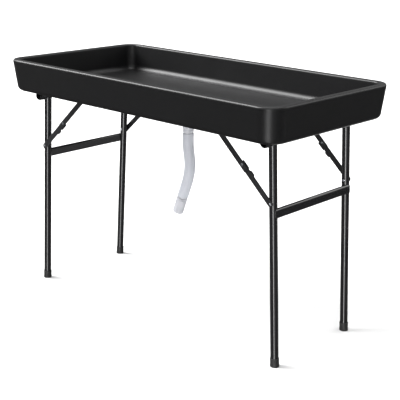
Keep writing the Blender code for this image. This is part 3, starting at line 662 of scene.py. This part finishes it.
def makeTub():
    bottom, top = layout["underside"], tub["top"]
    middle = (bottom + top) / 2
    corner = (tub["length"] / 2, tub["width"] / 2)
    mesh = block((-corner[0], -corner[1], bottom), (*corner, top))
    # the walls lean in to the bottom, and are as wide as the tub's size says where the rim's round starts
    flare = tub["rimOuterRound"] / (top - bottom - tub["rimOuterRound"])
    for vert in mesh.verts:
        factor = flare if vert.co.z > middle else -1
        vert.co.x *= 1 + 2 * factor * tub["endDraft"] / tub["length"]
        vert.co.y *= 1 + 2 * factor * tub["sideDraft"] / tub["width"]
    upright = [e for e in mesh.edges if abs(e.verts[0].co.z - e.verts[1].co.z) > (top - bottom) / 2]
    roundOff(mesh, upright, tub["planCorner"], steps["planCorner"])

    # the rim, then the basin pushed down inside it
    lid = flatFaces(mesh, top)[:1]
    bmesh.ops.inset_region(mesh, faces=lid, thickness=tub["rimWidth"], use_even_offset=True)
    bmesh.ops.inset_region(
        mesh, faces=flatFaces(mesh, top)[:1], thickness=tub["basinDraft"], depth=tub["basinFloor"] - top,
        use_even_offset=True,
    )
    roundOff(mesh, rimLoop(mesh, True), tub["rimOuterRound"], steps["rimOuter"])
    roundOff(mesh, rimLoop(mesh, False), tub["rimInnerRound"], steps["rimInner"])
    roundOff(mesh, flatFaces(mesh, bottom)[0].edges[:], tub["bottomRound"], steps["tubEdge"])
    roundOff(mesh, flatFaces(mesh, tub["basinFloor"])[0].edges[:], tub["basinRound"], steps["tubEdge"])

    openDrain(mesh, bottom)
    raiseParting(mesh)
    along = sum(tub["grooveEnds"]) / 2
    mesh = carved(mesh, [grooveTool(x, y) for x in (-along, along) for y in tub["grooveRows"]])
    finishPiece("tubShell", mesh, tubPlastic, "tub", "tub", sharp=32)


makeTub()
print("tub made")

weld = {
    "radius": 0.0016,
    "sections": 3,
    # a bead is laid in overlapping drops: how thick it is on the whole, and how much a drop swells it
    "ringDrops": (0.9, 0.16),
    "barDrops": (0.8, 0.18),
    "pointsPerDrop": 4,
    "ringLift": 0.0002,
    "barLift": 0.0004,
    "barAside": 0.0006,
    "barLength": 0.021,
    "innerRun": 0.86,  # of the leg's radius
}


def dropThickness(i, drops):
    return drops[0] + drops[1] * math.cos(2 * math.pi * i / weld["pointsPerDrop"])


def tubeCutter(alongY=False):
    half = 0.05  # longer than the pieces it cuts are wide
    return spun(ringProfile(0, tube + gap, -half, half), steps["tube"], alongY)


footCap = {
    "wall": 0.0018,
    "height": 0.028,
    "floor": 0.004,
    "mouth": 0.0004,
    "lipRound": 0.0009,
    # the sunk band round it: how far in, and how far below the top
    "band": ((0, 0.0036), (0.0004, 0.0042), (0.0004, 0.0198), (0, 0.0206)),
    "soleRound": 0.0012,
    "spare": 0.002,  # below the floor, before the sole is cut level with it
}


def makeFootCap(prefix, space, frameBody):
    radius = tube + footCap["wall"]
    bottom = -legRun - radius * math.tan(splay) - footCap["spare"]
    top = footCap["height"] - legRun
    floor = footCap["floor"] - legRun
    lip = footCap["lipRound"]
    profile = [(0, floor), (tube + gap, floor), (tube + gap, top - footCap["mouth"]), (tube + 2 * gap, top)]
    profile += arcPoints((radius - lip, top - lip), lip, 90, 0, steps["lip"])
    profile += [(radius - sunk, top - drop) for sunk, drop in footCap["band"]]
    profile += [(radius, bottom), (0, bottom)]
    mesh = spun(profile, steps["tube"])
    level = Matrix.Rotation(splay, 3, "Y") @ Vector((0, 0, -1))
    rim = onlyEdges(sliced(mesh, (0, 0, -legRun), level, clear=True)["geom_cut"])
    bmesh.ops.holes_fill(mesh, edges=rim)
    roundOff(mesh, rim, footCap["soleRound"], 3)
    finishPiece(f"{prefix}FootCap", moved(mesh, space), capPlastic, frameBody, f"{prefix}_foot_cap")


def makeLeg(prefix, space, frameBody):
    # its top is coped to the pivot tube
    profile = ringProfile(tube - layout["tubeWall"], tube, footCap["floor"] + gap - legRun, 0)
    mesh = carved(spun(profile, steps["tube"]), [tubeCutter(alongY=True)])
    finishPiece(f"{prefix}LegTube", moved(mesh, space), legEnamel, frameBody, f"{prefix}_leg")

    bead = []
    for i in range(steps["ringWeld"]):
        angle = 2 * math.pi * i / steps["ringWeld"]
        saddleLine = Vector((math.cos(angle), math.sin(angle), -abs(math.sin(angle))))
        bead.append((space @ (saddleLine * (tube + weld["ringLift"])), dropThickness(i, weld["ringDrops"])))
    makeWire(f"{prefix}LegWeld", bead, weld["radius"], legEnamel, frameBody, weld["sections"], closed=True)


crossbar = {
    "height": 0.031,
    "depth": 0.014,
    "proud": 0.0020,
    "lap": 0.0045,
    "z": 0.488,
    "hollowFrom": 0.005,
    "edge": 0.0004,
}
crossbarRun = (layout["pivotZ"] - crossbar["z"]) / math.cos(splay)
crossbarX = tube + crossbar["proud"] - crossbar["depth"] / 2


def ovalBar(less, start, end):
    x, z = crossbar["depth"] / 2 - less, crossbar["height"] / 2 - less
    return thickened(flatShape([(-x, -z, x), (x, -z, x), (x, z, x), (-x, z, x)]), start, end - start)


def makeCrossbarWeld(name, place, y, run, frameBody):
    # a short weld down one side of a leg, where the bar laps it
    x = math.sqrt(tube**2 - run**2) - crossbarX + weld["barLift"]
    bead = []
    for i in range(steps["barWeld"] + 1):
        z = (i / steps["barWeld"] - 0.5) * weld["barLength"]
        point = Vector((x, y + run + math.copysign(weld["barAside"], run), z))
        bead.append((place @ point, dropThickness(i, weld["barDrops"])))
    makeWire(name, bead, weld["radius"], legEnamel, frameBody, weld["sections"])


def makeCrossbar(side, spin, frameBody):
    reach, lap = layout["farY"] - layout["nearY"], crossbar["lap"]
    place = spin @ legSpace @ shift(crossbarX, layout["nearY"], -crossbarRun)
    tools = [ovalBar(layout["tubeWall"], crossbar["hollowFrom"], reach - crossbar["hollowFrom"])]
    for y in (0, reach):
        tools.append(moved(tubeCutter(), shift(-crossbarX, y, 0)))
    mesh = softened(carved(ovalBar(0, -lap, reach + lap), tools), crossbar["edge"], 2, 60)
    finishPiece(f"{side}CrossbarTube", moved(mesh, place), legEnamel, frameBody, f"{side}_crossbar")
    for label, y, outward in (("Near", 0, -1), ("Far", reach, 1)):
        for where, run in (("Outer", outward * lap), ("Inner", -outward * tube * weld["innerRun"])):
            makeCrossbarWeld(f"{side}CrossbarWeld{label}{where}", place, y, run, frameBody)


pivotTube = {"half": 0.2285, "edge": 0.0003}


def makePivotTube(side, spin, frameBody):
    profile = ringProfile(tube - layout["tubeWall"], tube, -pivotTube["half"], pivotTube["half"])
    mesh = softened(spun(profile, steps["tube"], alongY=True), pivotTube["edge"])
    moved(mesh, spin, legSpace, shift(0, layout["nestShift"], 0))
    finishPiece(f"{side}PivotTube", mesh, legEnamel, frameBody, f"{side}_pivot_tube")


arm = {
    "lengthDifference": 0.01186,
    "width": 0.0190,
    "thickness": 0.0020,
    "tail": 0.024,
    "corner": 0.004,
    "edge": 0.00035,
    "tipRound": 0.98,  # of half the width
    "footRound": 0.0012,
    # the knuckle's stop ear and the finger grip: back from the knuckle's rivet, and earEnd past it
    "earHeight": 0.0041,
    "earStart": 0.025,
    "earEnd": 0.009,
    "earRound": 0.0016,
    "gripStart": 0.053,
    "gripEnd": 0.029,
    "gripHeight": 0.0047,
    "gripSlope": 0.004,
    "gripRound": 0.003,
}
lowerArm = (braceSpan + arm["lengthDifference"]) / 2
upperArm = (braceSpan - arm["lengthDifference"]) / 2
# how far off the leg's middle each layer of a brace lies
lowerLayer = tube + 0.0004
upperLayer = lowerLayer + arm["thickness"] + gap
bracketLayer = upperLayer + arm["thickness"] + gap

rivet = {
    "head": 0.0047,
    "headHeight": 0.0013,
    "legHead": 0.0038,
    "legHeadHeight": 0.0015,
    "innerHeadHeight": 0.0020,
    "dimple": 0.0012,
    "dimpleEdge": 0.0014,
    "peenedRadius": 0.0037,
    "peenedEdge": 0.0003,
    "peenedProud": 0.0002,
    "peenedDepth": 0.0004,
}


def makeUpperArm(prefix, space, flip, body):
    half, end = arm["width"] / 2, upperArm + arm["tail"]
    outline = [
        (-half, -half, half),
        (end, -half, arm["corner"]),
        (end, half, arm["corner"]),
        (-half, half, half),
    ]
    mesh = softened(thickened(flatShape(outline), upperLayer, arm["thickness"]), arm["edge"])
    finishPiece(f"{prefix}UpperArm", moved(mesh, space, flip), braceSteel, body, f"{prefix}_upper_arm")


def makeLowerArm(prefix, space, flip, body):
    half = arm["width"] / 2
    tip = lowerArm + arm["earEnd"]
    ear, grip = half + arm["earHeight"], half + arm["gripHeight"]
    earFoot = lowerArm - arm["earStart"]
    gripFar, gripNear = lowerArm - arm["gripEnd"], lowerArm - arm["gripStart"]
    outline = [
        (-half, half, half),
        (-half, -half, half),
        (tip, -half, half * arm["tipRound"]),
        (tip, ear, arm["corner"]),
        (earFoot + arm["earHeight"], ear, arm["earRound"]),
        (earFoot, half, arm["footRound"]),
        (gripFar, half, arm["footRound"]),
        (gripFar - arm["gripSlope"], grip, arm["gripRound"]),
        (gripNear + arm["gripSlope"], grip, arm["gripRound"]),
        (gripNear, half, arm["footRound"]),
    ]
    mesh = softened(thickened(flatShape(outline), lowerLayer, arm["thickness"]), arm["edge"])
    finishPiece(f"{prefix}LowerArm", moved(mesh, space, flip), braceSteel, body, f"{prefix}_lower_arm")

    # the peened end of the knuckle rivet, nearly flush so that the arm can lie along its leg when folded
    radius, proud, deep = rivet["peenedRadius"], rivet["peenedProud"], -rivet["peenedDepth"]
    profile = [(0, proud), (radius - rivet["peenedEdge"], proud), (radius, 0), (radius, deep), (0, deep)]
    mesh = spun(profile, steps["peened"], alongY=True)
    moved(mesh, space, flip, shift(lowerArm, lowerLayer, 0), turned(180, "X"))
    finishPiece(f"{prefix}KnuckleRivetEnd", mesh, rivetSteel, body)


def rivetEnd(radius, height, base):
    # a pressed head: a short upright rim, a quarter of its height, then a low dome
    rim = 0.25 * height
    return domeLine(radius, height - rim, base + rim) + [(radius, base)]


def makeRivet(name, place, base, body, node):
    profile = rivetEnd(rivet["head"], rivet["headHeight"], base + gap)
    profile += [(layout["rivetRadius"], base + gap), (layout["rivetRadius"], upperLayer), (0, upperLayer)]
    finishPiece(name, moved(spun(profile, steps["rivet"], alongY=True), place), rivetSteel, body, node)


def makeLegRivet(prefix, place, body):
    profile = rivetEnd(rivet["legHead"], rivet["legHeadHeight"], upperLayer)
    profile += [(layout["rivetRadius"], upperLayer), (layout["rivetRadius"], -tube - gap)]
    # the inner head is rolled over, and keeps the punch's dimple
    inner = [(r, -h) for r, h in reversed(rivetEnd(rivet["head"], rivet["innerHeadHeight"], tube + gap))]
    bottom = inner.pop()[1] + rivet["dimple"]
    inner = [point for point in inner if point[0] > rivet["dimpleEdge"]]
    profile += inner + [(rivet["dimple"], bottom), (0, bottom)]
    mesh = moved(spun(profile, steps["rivet"], alongY=True), place)
    finishPiece(f"{prefix}LegRivet", mesh, rivetSteel, body, f"{prefix}_leg_rivet")


bracket = {
    "length": 0.030,
    "flange": 0.024,
    "bend": 0.0028,
    "edge": 0.00035,
    "margin": 0.001,  # of the lug, round the arm's end
    "lugRound": 0.999,  # of the lug's half width
    "shoulder": 0.001,
    "screwOut": 0.0145,
}


def makeBracket(prefix, place, body):
    half, shoulder = bracket["length"] / 2, bracket["shoulder"]
    top = layout["underside"] - layout["braceZ"] - gap
    lug = arm["width"] / 2 + bracket["margin"]
    line = [(bracketLayer, -lug), (bracketLayer, top), (bracketLayer + bracket["flange"], top)]
    sheet = bentSheet(line, -half, 2 * half, (1,), bracket["bend"], arm["thickness"])
    # what stays of the bent sheet: all of the flange, and a lug with a round end below it
    spare = 0.005
    end, side, tip, rounded = top + spare, half + shoulder, -lug - within["level"], lug * bracket["lugRound"]
    keep = flatShape([
        (-side, end, 0),
        (-side, 0, shoulder),
        (-lug, 0, 0),
        (-lug, tip, rounded),
        (lug, tip, rounded),
        (lug, 0, 0),
        (side, 0, shoulder),
        (side, end, 0),
    ])
    keep = thickened(keep, bracketLayer - spare, bracket["flange"] + 2 * spare)
    mesh = softened(carved(sheet, [keep], "INTERSECT"), bracket["edge"], 2, 50)
    finishPiece(f"{prefix}BraceBracket", moved(mesh, place), braceSteel, body, f"{prefix}_brace_bracket")


saddle = {
    "width": 0.022,
    "thickness": 0.0025,
    "flange": 0.018,
    "bend": 0.0030,
    "edge": 0.0004,
    "shift": 0.029,
    "screwX": 0.0245,
}


def makeSaddle(prefix, place, body):
    inner = tube + gap
    end = inner + saddle["thickness"] + saddle["flange"]
    top = layout["underside"] - layout["pivotZ"] - gap
    line = [(end, top), (inner, top)] + arcPoints((0, 0), inner, 0, -180, steps["strap"])
    line += [(-inner, top), (-end, top)]
    bends = (1, len(line) - 2)
    strap = bentSheet(line, -saddle["width"] / 2, saddle["width"], bends, saddle["bend"], saddle["thickness"])
    mesh = moved(softened(strap, saddle["edge"], 2, 50), place, turned(90, "Z"))
    finishPiece(f"{prefix}SaddleStrap", mesh, braceSteel, body, f"{prefix}_saddle")


screw = {
    "radius": 0.0021,
    "head": 0.0048,
    "headHeight": 0.0024,
    "length": 0.008,
    "recess": (0.0026, 0.0006, 0.0013),  # half sizes of one arm of the cross
    # degrees that the cross stands at, and how far it differs from one side to the other
    "bracketTurn": (20, 31),
    "saddleTurn": (47, 13),
}


def makeScrew(name, x, y, spin, plate, turn, node):
    # a pan head with a cross recess
    radius, length = screw["radius"], screw["length"]
    under = plate + 2 * gap
    profile = [(0, length), (radius, length - radius), (radius, -under)]
    profile += [(r, -h) for r, h in reversed(rivetEnd(screw["head"], screw["headHeight"], under))]
    tools = []
    for angle in (turn, turn + 90):
        cross = block([-half for half in screw["recess"]], screw["recess"])
        tools.append(moved(cross, shift(0, 0, -under - screw["headHeight"]), turned(angle, "Z")))
    mesh = carved(spun(profile, steps["screw"]), tools)
    finishPiece(name, moved(mesh, spin, shift(x, y, layout["underside"])), rivetSteel, "tub", node)


def makeBrace(prefix, spin, y, outward):
    flip = turned(0 if outward > 0 else 180, "X")
    about = turned(0 if outward > 0 else 180, "Z")
    upperPlace = spin @ upperSpace @ shift(0, y, 0)
    lowerPlace = spin @ lowerSpace @ shift(0, y, 0)
    makeUpperArm(prefix, upperPlace, flip, f"{prefix}_upper_link")
    makeLowerArm(prefix, lowerPlace, flip, f"{prefix}_lower_link")
    knuckle = upperPlace @ shift(upperArm, 0, 0) @ flip
    base = upperLayer + arm["thickness"]
    makeRivet(f"{prefix}KnuckleRivet", knuckle, base, f"{prefix}_upper_link", f"{prefix}_knuckle_rivet")

    bracketPlace = spin @ shift(layout["braceX"], y, layout["braceZ"]) @ about
    makeBracket(prefix, bracketPlace, "tub")
    base = bracketLayer + arm["thickness"]
    makeRivet(f"{prefix}BracketRivet", bracketPlace, base, "tub", f"{prefix}_bracket_rivet")
    screwY = y + outward * (bracketLayer + bracket["screwOut"])
    turn, other = screw["bracketTurn"]
    makeScrew(
        f"{prefix}BracketScrew", layout["braceX"], screwY, spin, arm["thickness"], turn + other * outward,
        f"{prefix}_bracket_screw",
    )


def makeSide(side, sideTurn, pair):
    spin = turned(sideTurn, "Z")
    frameBody = f"{side}_leg_frame"
    makePivotTube(side, spin, frameBody)
    makeCrossbar(side, spin, frameBody)
    for where, y, outward in pair:
        prefix = f"{side}_{where}"
        about = turned(0 if outward > 0 else 180, "Z")
        legPlace = spin @ legSpace @ shift(0, y, 0)
        makeLeg(prefix, legPlace, frameBody)
        makeFootCap(prefix, legPlace, frameBody)
        makeLegRivet(prefix, legPlace @ shift(0, 0, -layout["legRivetRun"]) @ about, frameBody)
        makeBrace(prefix, spin, y, outward)
        saddleY = y + outward * saddle["shift"]
        makeSaddle(prefix, spin @ shift(layout["pivotX"], saddleY, layout["pivotZ"]), "tub")
        turn, other = screw["saddleTurn"]
        for sign, place in ((-1, "inner"), (1, "outer")):
            makeScrew(
                f"{prefix}SaddleScrew_{place}", layout["pivotX"] + sign * saddle["screwX"], saddleY, spin,
                saddle["thickness"], turn * sign + other * outward, f"{prefix}_saddle_screw_{place}",
            )


for side, sideTurn, pair in sides:
    makeSide(side, sideTurn, pair)
    print(f"{side} leg frame made")

drain = {
    "bore": 0.0145,
    "tailRadius": 0.018,
    "tailLength": 0.049,
    "tailEdge": (0.0010, 0.0012),  # how far in and how far up
    "flangeRadius": 0.029,
    "flangeThickness": 0.0030,
    "flangeRound": 0.0014,
    "edge": 0.00025,
    "gasket": 0.0015,
    "gasketEdge": 0.0003,
}
strainer = {
    "radius": 0.0215,
    "thickness": 0.0020,
    "rim": 0.0005,
    "edge": 0.00025,
    "slots": 8,
    "slotWidth": 0.0030,
    "slotEnds": (0.0045, 0.0130),
}
flangeUnder = tub["pocketFloor"] + drain["gasket"] + 2 * gap
flangeTop = flangeUnder + drain["flangeThickness"]
strainerShelf = flangeTop - strainer["thickness"]


def makeGasket():
    ring = ringProfile(tub["holeRadius"], drain["flangeRadius"], flangeUnder - gap, tub["pocketFloor"] + gap)
    mesh = softened(spun(ring, steps["drain"]), drain["gasketEdge"])
    finishPiece("drainGasket", mesh, gasketRubber, "tub", "drain_gasket")


def makeDrainBody():
    bottom = layout["underside"] - drain["tailLength"]
    inset, rise = drain["tailEdge"]
    seat = strainer["radius"] + gap
    radius, corner = drain["flangeRadius"], drain["flangeRound"]
    profile = [(drain["bore"], strainerShelf), (seat, strainerShelf), (seat, flangeTop)]
    profile += arcPoints((radius - corner, flangeTop - corner), corner, 90, 0, steps["flange"])
    profile += [
        (radius, flangeUnder),
        (drain["tailRadius"], flangeUnder),
        (drain["tailRadius"], bottom + rise),
        (drain["tailRadius"] - inset, bottom),
        (drain["bore"], bottom),
    ]
    mesh = softened(spun(profile, steps["drain"]), drain["edge"], 2, 60)
    finishPiece("drainBody", mesh, whitePvc, "tub", "drain_body")


def makeStrainer():
    # a plate with round-ended slots like spokes
    outer, rim, low = strainer["radius"], strainer["rim"], strainerShelf + gap
    plate = [(0, flangeTop), (outer - rim, flangeTop), (outer, flangeTop - rim), (outer, low), (0, low)]
    deep = strainer["thickness"]  # how far a slot's cutter stands out below the shelf
    tools = []
    for i in range(strainer["slots"]):
        slot = thickened(roundEnded(*strainer["slotEnds"], strainer["slotWidth"] / 2), 0, 3 * deep)
        around = turned(360 * i / strainer["slots"], "Z")
        tools.append(moved(slot, around, shift(0, 0, strainerShelf - deep), turned(90, "X")))
    mesh = softened(carved(spun(plate, steps["drain"]), tools), strainer["edge"], 2, 50)
    finishPiece("drainStrainer", mesh, whitePvc, "strainer", "drain_strainer")


lockNut = {
    "radius": 0.026,
    "height": 0.011,
    "edge": 0.0005,
    "lugs": 8,
    "lug": 0.004,
    "lugLap": 0.003,
    "lugStep": 0.001,
}


def makeLockNut():
    top = layout["underside"] - gap
    bottom = top - lockNut["height"]
    radius, half = lockNut["radius"], lockNut["lug"] / 2
    nut = spun(ringProfile(tub["holeRadius"], radius, bottom, top), steps["drain"])
    lugs = []
    for i in range(lockNut["lugs"]):
        lug = block(
            (radius - lockNut["lugLap"], -half, bottom + lockNut["lugStep"]),
            (radius + lockNut["lug"], half, top - lockNut["lugStep"]),
        )
        lugs.append(moved(lug, turned(360 * i / lockNut["lugs"], "Z")))
    mesh = softened(carved(nut, lugs, "UNION"), lockNut["edge"], 3, 50)
    finishPiece("drainLockNut", mesh, whitePvc, "tub", "drain_lock_nut")


adapter = {
    "top": 0.695,
    "socketDepth": 0.0236,
    "wall": 0.0042,
    "lipRound": 0.0012,
    "shoulder": 0.001,
    "shoulderIn": 0.0005,
    "radius": 0.0185,
    "taper": 0.012,
    "band": 0.009,
    "groove": 0.0012,
    "endRound": 0.0010,
    "neckRadius": 0.0165,
    "neckHeight": 0.0035,
    "neckWall": 0.0030,
    "edge": 0.0002,
}


def makeHoseAdapter():
    hole, top, lip = tub["holeRadius"], adapter["top"], adapter["lipRound"]
    floor = top - adapter["socketDepth"]
    outer = hole + adapter["wall"]
    end = hose["top"] + gap
    neck = end + adapter["neckHeight"]
    middle = neck + adapter["band"]
    radius, groove, corner = adapter["radius"], adapter["groove"], adapter["endRound"]
    outside = adapter["neckRadius"]
    bore = outside - adapter["neckWall"]
    profile = [(hole, top)] + arcPoints((outer - lip, top - lip), lip, 90, 0, steps["lip"])
    profile += [
        (outer, floor + adapter["shoulder"]),
        (outer - adapter["shoulderIn"], floor - adapter["shoulder"]),
        (radius, floor - adapter["taper"]),
        (radius, middle + groove),
        (radius - groove, middle),
        (radius, middle - groove),
    ]
    profile += arcPoints((radius - corner, neck + corner), corner, 0, -90, steps["lip"])
    profile += [(outside, neck), (outside, end), (bore, end), (bore, floor), (hole, floor)]
    mesh = softened(spun(profile, steps["drain"]), adapter["edge"], 2, 60)
    finishPiece("hoseAdapter", mesh, whitePvc, "tub", "hose_adapter")


fitting = {
    "radius": 0.0188,
    "length": 0.067,
    "wall": 0.0022,
    "neckRadius": 0.0148,
    "neck": 0.0062,
    "collar": 0.0042,
    "collarSlope": 0.0006,
    "groove": 0.0024,
    "lipBand": 0.0115,  # a fine step round the open end
    "lipStep": 0.0005,
    "endRound": 0.0007,
    "edge": 0.0002,
}


def makeHoseFitting():
    radius, wall, groove = fitting["radius"], fitting["wall"], fitting["groove"]
    top = -gap
    neck = top - fitting["neck"]
    collar = neck - fitting["collar"]
    band = collar - 2 * groove
    end = top - fitting["length"]
    lip, lipStep, corner = end + fitting["lipBand"], fitting["lipStep"], fitting["endRound"]
    bore = fitting["neckRadius"] - 2 * wall
    profile = [
        (0, top),
        (fitting["neckRadius"], top),
        (fitting["neckRadius"], neck),
        (radius - fitting["collarSlope"], neck - groove * 0.5),
        (radius, neck - groove),
        (radius, collar),
        (radius - groove, collar - groove),
        (radius, band),
        (radius, lip + 2 * lipStep),
        (radius - lipStep, lip + lipStep),
        (radius - lipStep, lip),
        (radius, lip - lipStep),
    ]
    profile += arcPoints((radius - corner, end + corner), corner, 0, -90, steps["lip"])
    inside, ceiling = radius - wall, top - wall
    profile += [(inside, end), (inside, band), (bore, collar), (bore, ceiling), (0, ceiling)]
    run = hoseLine[-1] - hoseLine[-2]
    aim = Vector((0, 0, -1)).rotation_difference(run).to_matrix().to_4x4()
    mesh = softened(spun(profile, steps["drain"]), fitting["edge"], 2, 60)
    moved(mesh, Matrix.Translation(hoseLine[-1]), aim)
    return finishPiece("hoseEndFitting", mesh, whitePvc, "tub", "hose_end_fitting")


makeGasket()
makeDrainBody()
makeStrainer()
makeLockNut()
makeHoseAdapter()
hoseFitting = makeHoseFitting()
print("drain made")

studio = {
    "floor": {"colour": "#d6d6d6", "dull": 0.9},
    "floorHalf": 40,
    "backdrop": 0.9,
    "light": "#ffffff",
    "sky": 0.3,
    "ground": 0.09,
    "horizon": 0.1,  # how far up and down the sky blends into the ground
    # azimuth and half width in degrees, and strength: upright strips, which draw the lines down the legs
    "strips": ((-60, 7, 10.0), (-28, 14, 0.4), (-140, 50, 0.1), (38, 8, 0.35), (110, 10, 1.2)),
    "stripFade": (0.7, 1.3),  # where a strip starts to fade sideways and ends, in its half widths
    "stripTop": 0.3,
    # name, where its light comes from, strength, how wide it is in degrees
    "suns": (
        ("keySun", (-0.72, -0.37, 0.68), 7.0, 38),
        ("backSun", (0.35, 0.81, 0.47), 0.8, 40),
        ("frontSun", (0.55, -0.75, 0.35), 0.9, 80),
        ("topSun", (0.0, 0.1, 1.0), 2.8, 60),
    ),
}


def makeFloor():
    mesh = bmesh.new()
    bmesh.ops.create_grid(mesh, x_segments=1, y_segments=1, size=studio["floorHalf"])
    floor = inScene("studioFloor", meshData("studioFloor", mesh))
    floor.data.materials.append(startMaterial("paperSweep", studio["floor"], {})[0])
    floor.visible_glossy = False  # black gloss would mirror the white floor and turn grey


def makeSuns():
    for name, source, strength, width in studio["suns"]:
        light = bpy.data.lights.new(name, "SUN")
        light.energy = strength
        light.angle = math.radians(width)
        lamp = inScene(name, light)
        lamp.matrix_world = (-Vector(source)).to_track_quat("-Z", "Y").to_matrix().to_4x4()


def makeWorld():
    world = bpy.data.worlds.new("studioWorld")
    world.use_nodes = True
    tree = world.node_tree
    direction = [(addNode(tree, "ShaderNodeTexCoord", {}), "Generated", None, "Vector")]
    around = addNode(tree, "ShaderNodeTexGradient", {"gradient_type": "RADIAL"}, direction)
    height = [(addNode(tree, "ShaderNodeSeparateXYZ", {}, direction), "Z", None, "Value")]
    total = addNode(tree, "ShaderNodeValue", {})
    total.outputs[0].default_value = 0.0
    for azimuth, width, strength in studio["strips"]:
        middle = {"operation": "SUBTRACT", 1: (azimuth + 180) / 360}
        off = addNode(tree, "ShaderNodeMath", middle, [(around, "Fac", None, 0)])
        off = addNode(tree, "ShaderNodeMath", {"operation": "ABSOLUTE"}, [(off, "Value", None, 0)])
        strip = addNode(tree, "ShaderNodeMapRange", {
            "From Min": studio["stripFade"][0] * width / 360,
            "From Max": studio["stripFade"][1] * width / 360,
            "To Min": strength,
            "To Max": 0.0,
        }, [(off, "Value", None, "Value")])
        total = addNode(tree, "ShaderNodeMath", {"operation": "ADD"}, [
            (total, "Value", None, 0),
            (strip, "Result", None, 1),
        ])
    fade = {"From Max": studio["stripTop"], "To Min": 1.0, "To Max": 0.0}
    low = addNode(tree, "ShaderNodeMapRange", fade, height)
    plain = addNode(tree, "ShaderNodeMapRange", {
        "From Min": -studio["horizon"],
        "From Max": studio["horizon"],
        "To Min": studio["ground"],
        "To Max": studio["sky"],
    }, height)
    seen = addNode(tree, "ShaderNodeMath", {"operation": "MULTIPLY_ADD"}, [
        (total, "Value", None, 0),
        (low, "Result", None, 1),
        (plain, "Result", None, 2),
    ])
    # the camera itself sees an even backdrop as pale as the floor; a float Mix mixes its inputs 2 and 3
    path = addNode(tree, "ShaderNodeLightPath", {})
    addNode(tree, "ShaderNodeMix", {"data_type": "FLOAT", 3: studio["backdrop"]}, [
        (path, "Is Camera Ray", None, 0),
        (seen, "Value", None, 2),
        (None, 0, tree.nodes["Background"], "Strength"),
    ])
    tree.nodes["Background"].inputs["Color"].default_value = linearColour(studio["light"])
    bpy.context.scene.world = world


makeFloor()
makeSuns()
makeWorld()
bpy.context.scene.view_settings.view_transform = "Standard"  # keeps the blacks as deep as in the photograph
print("studio lit")
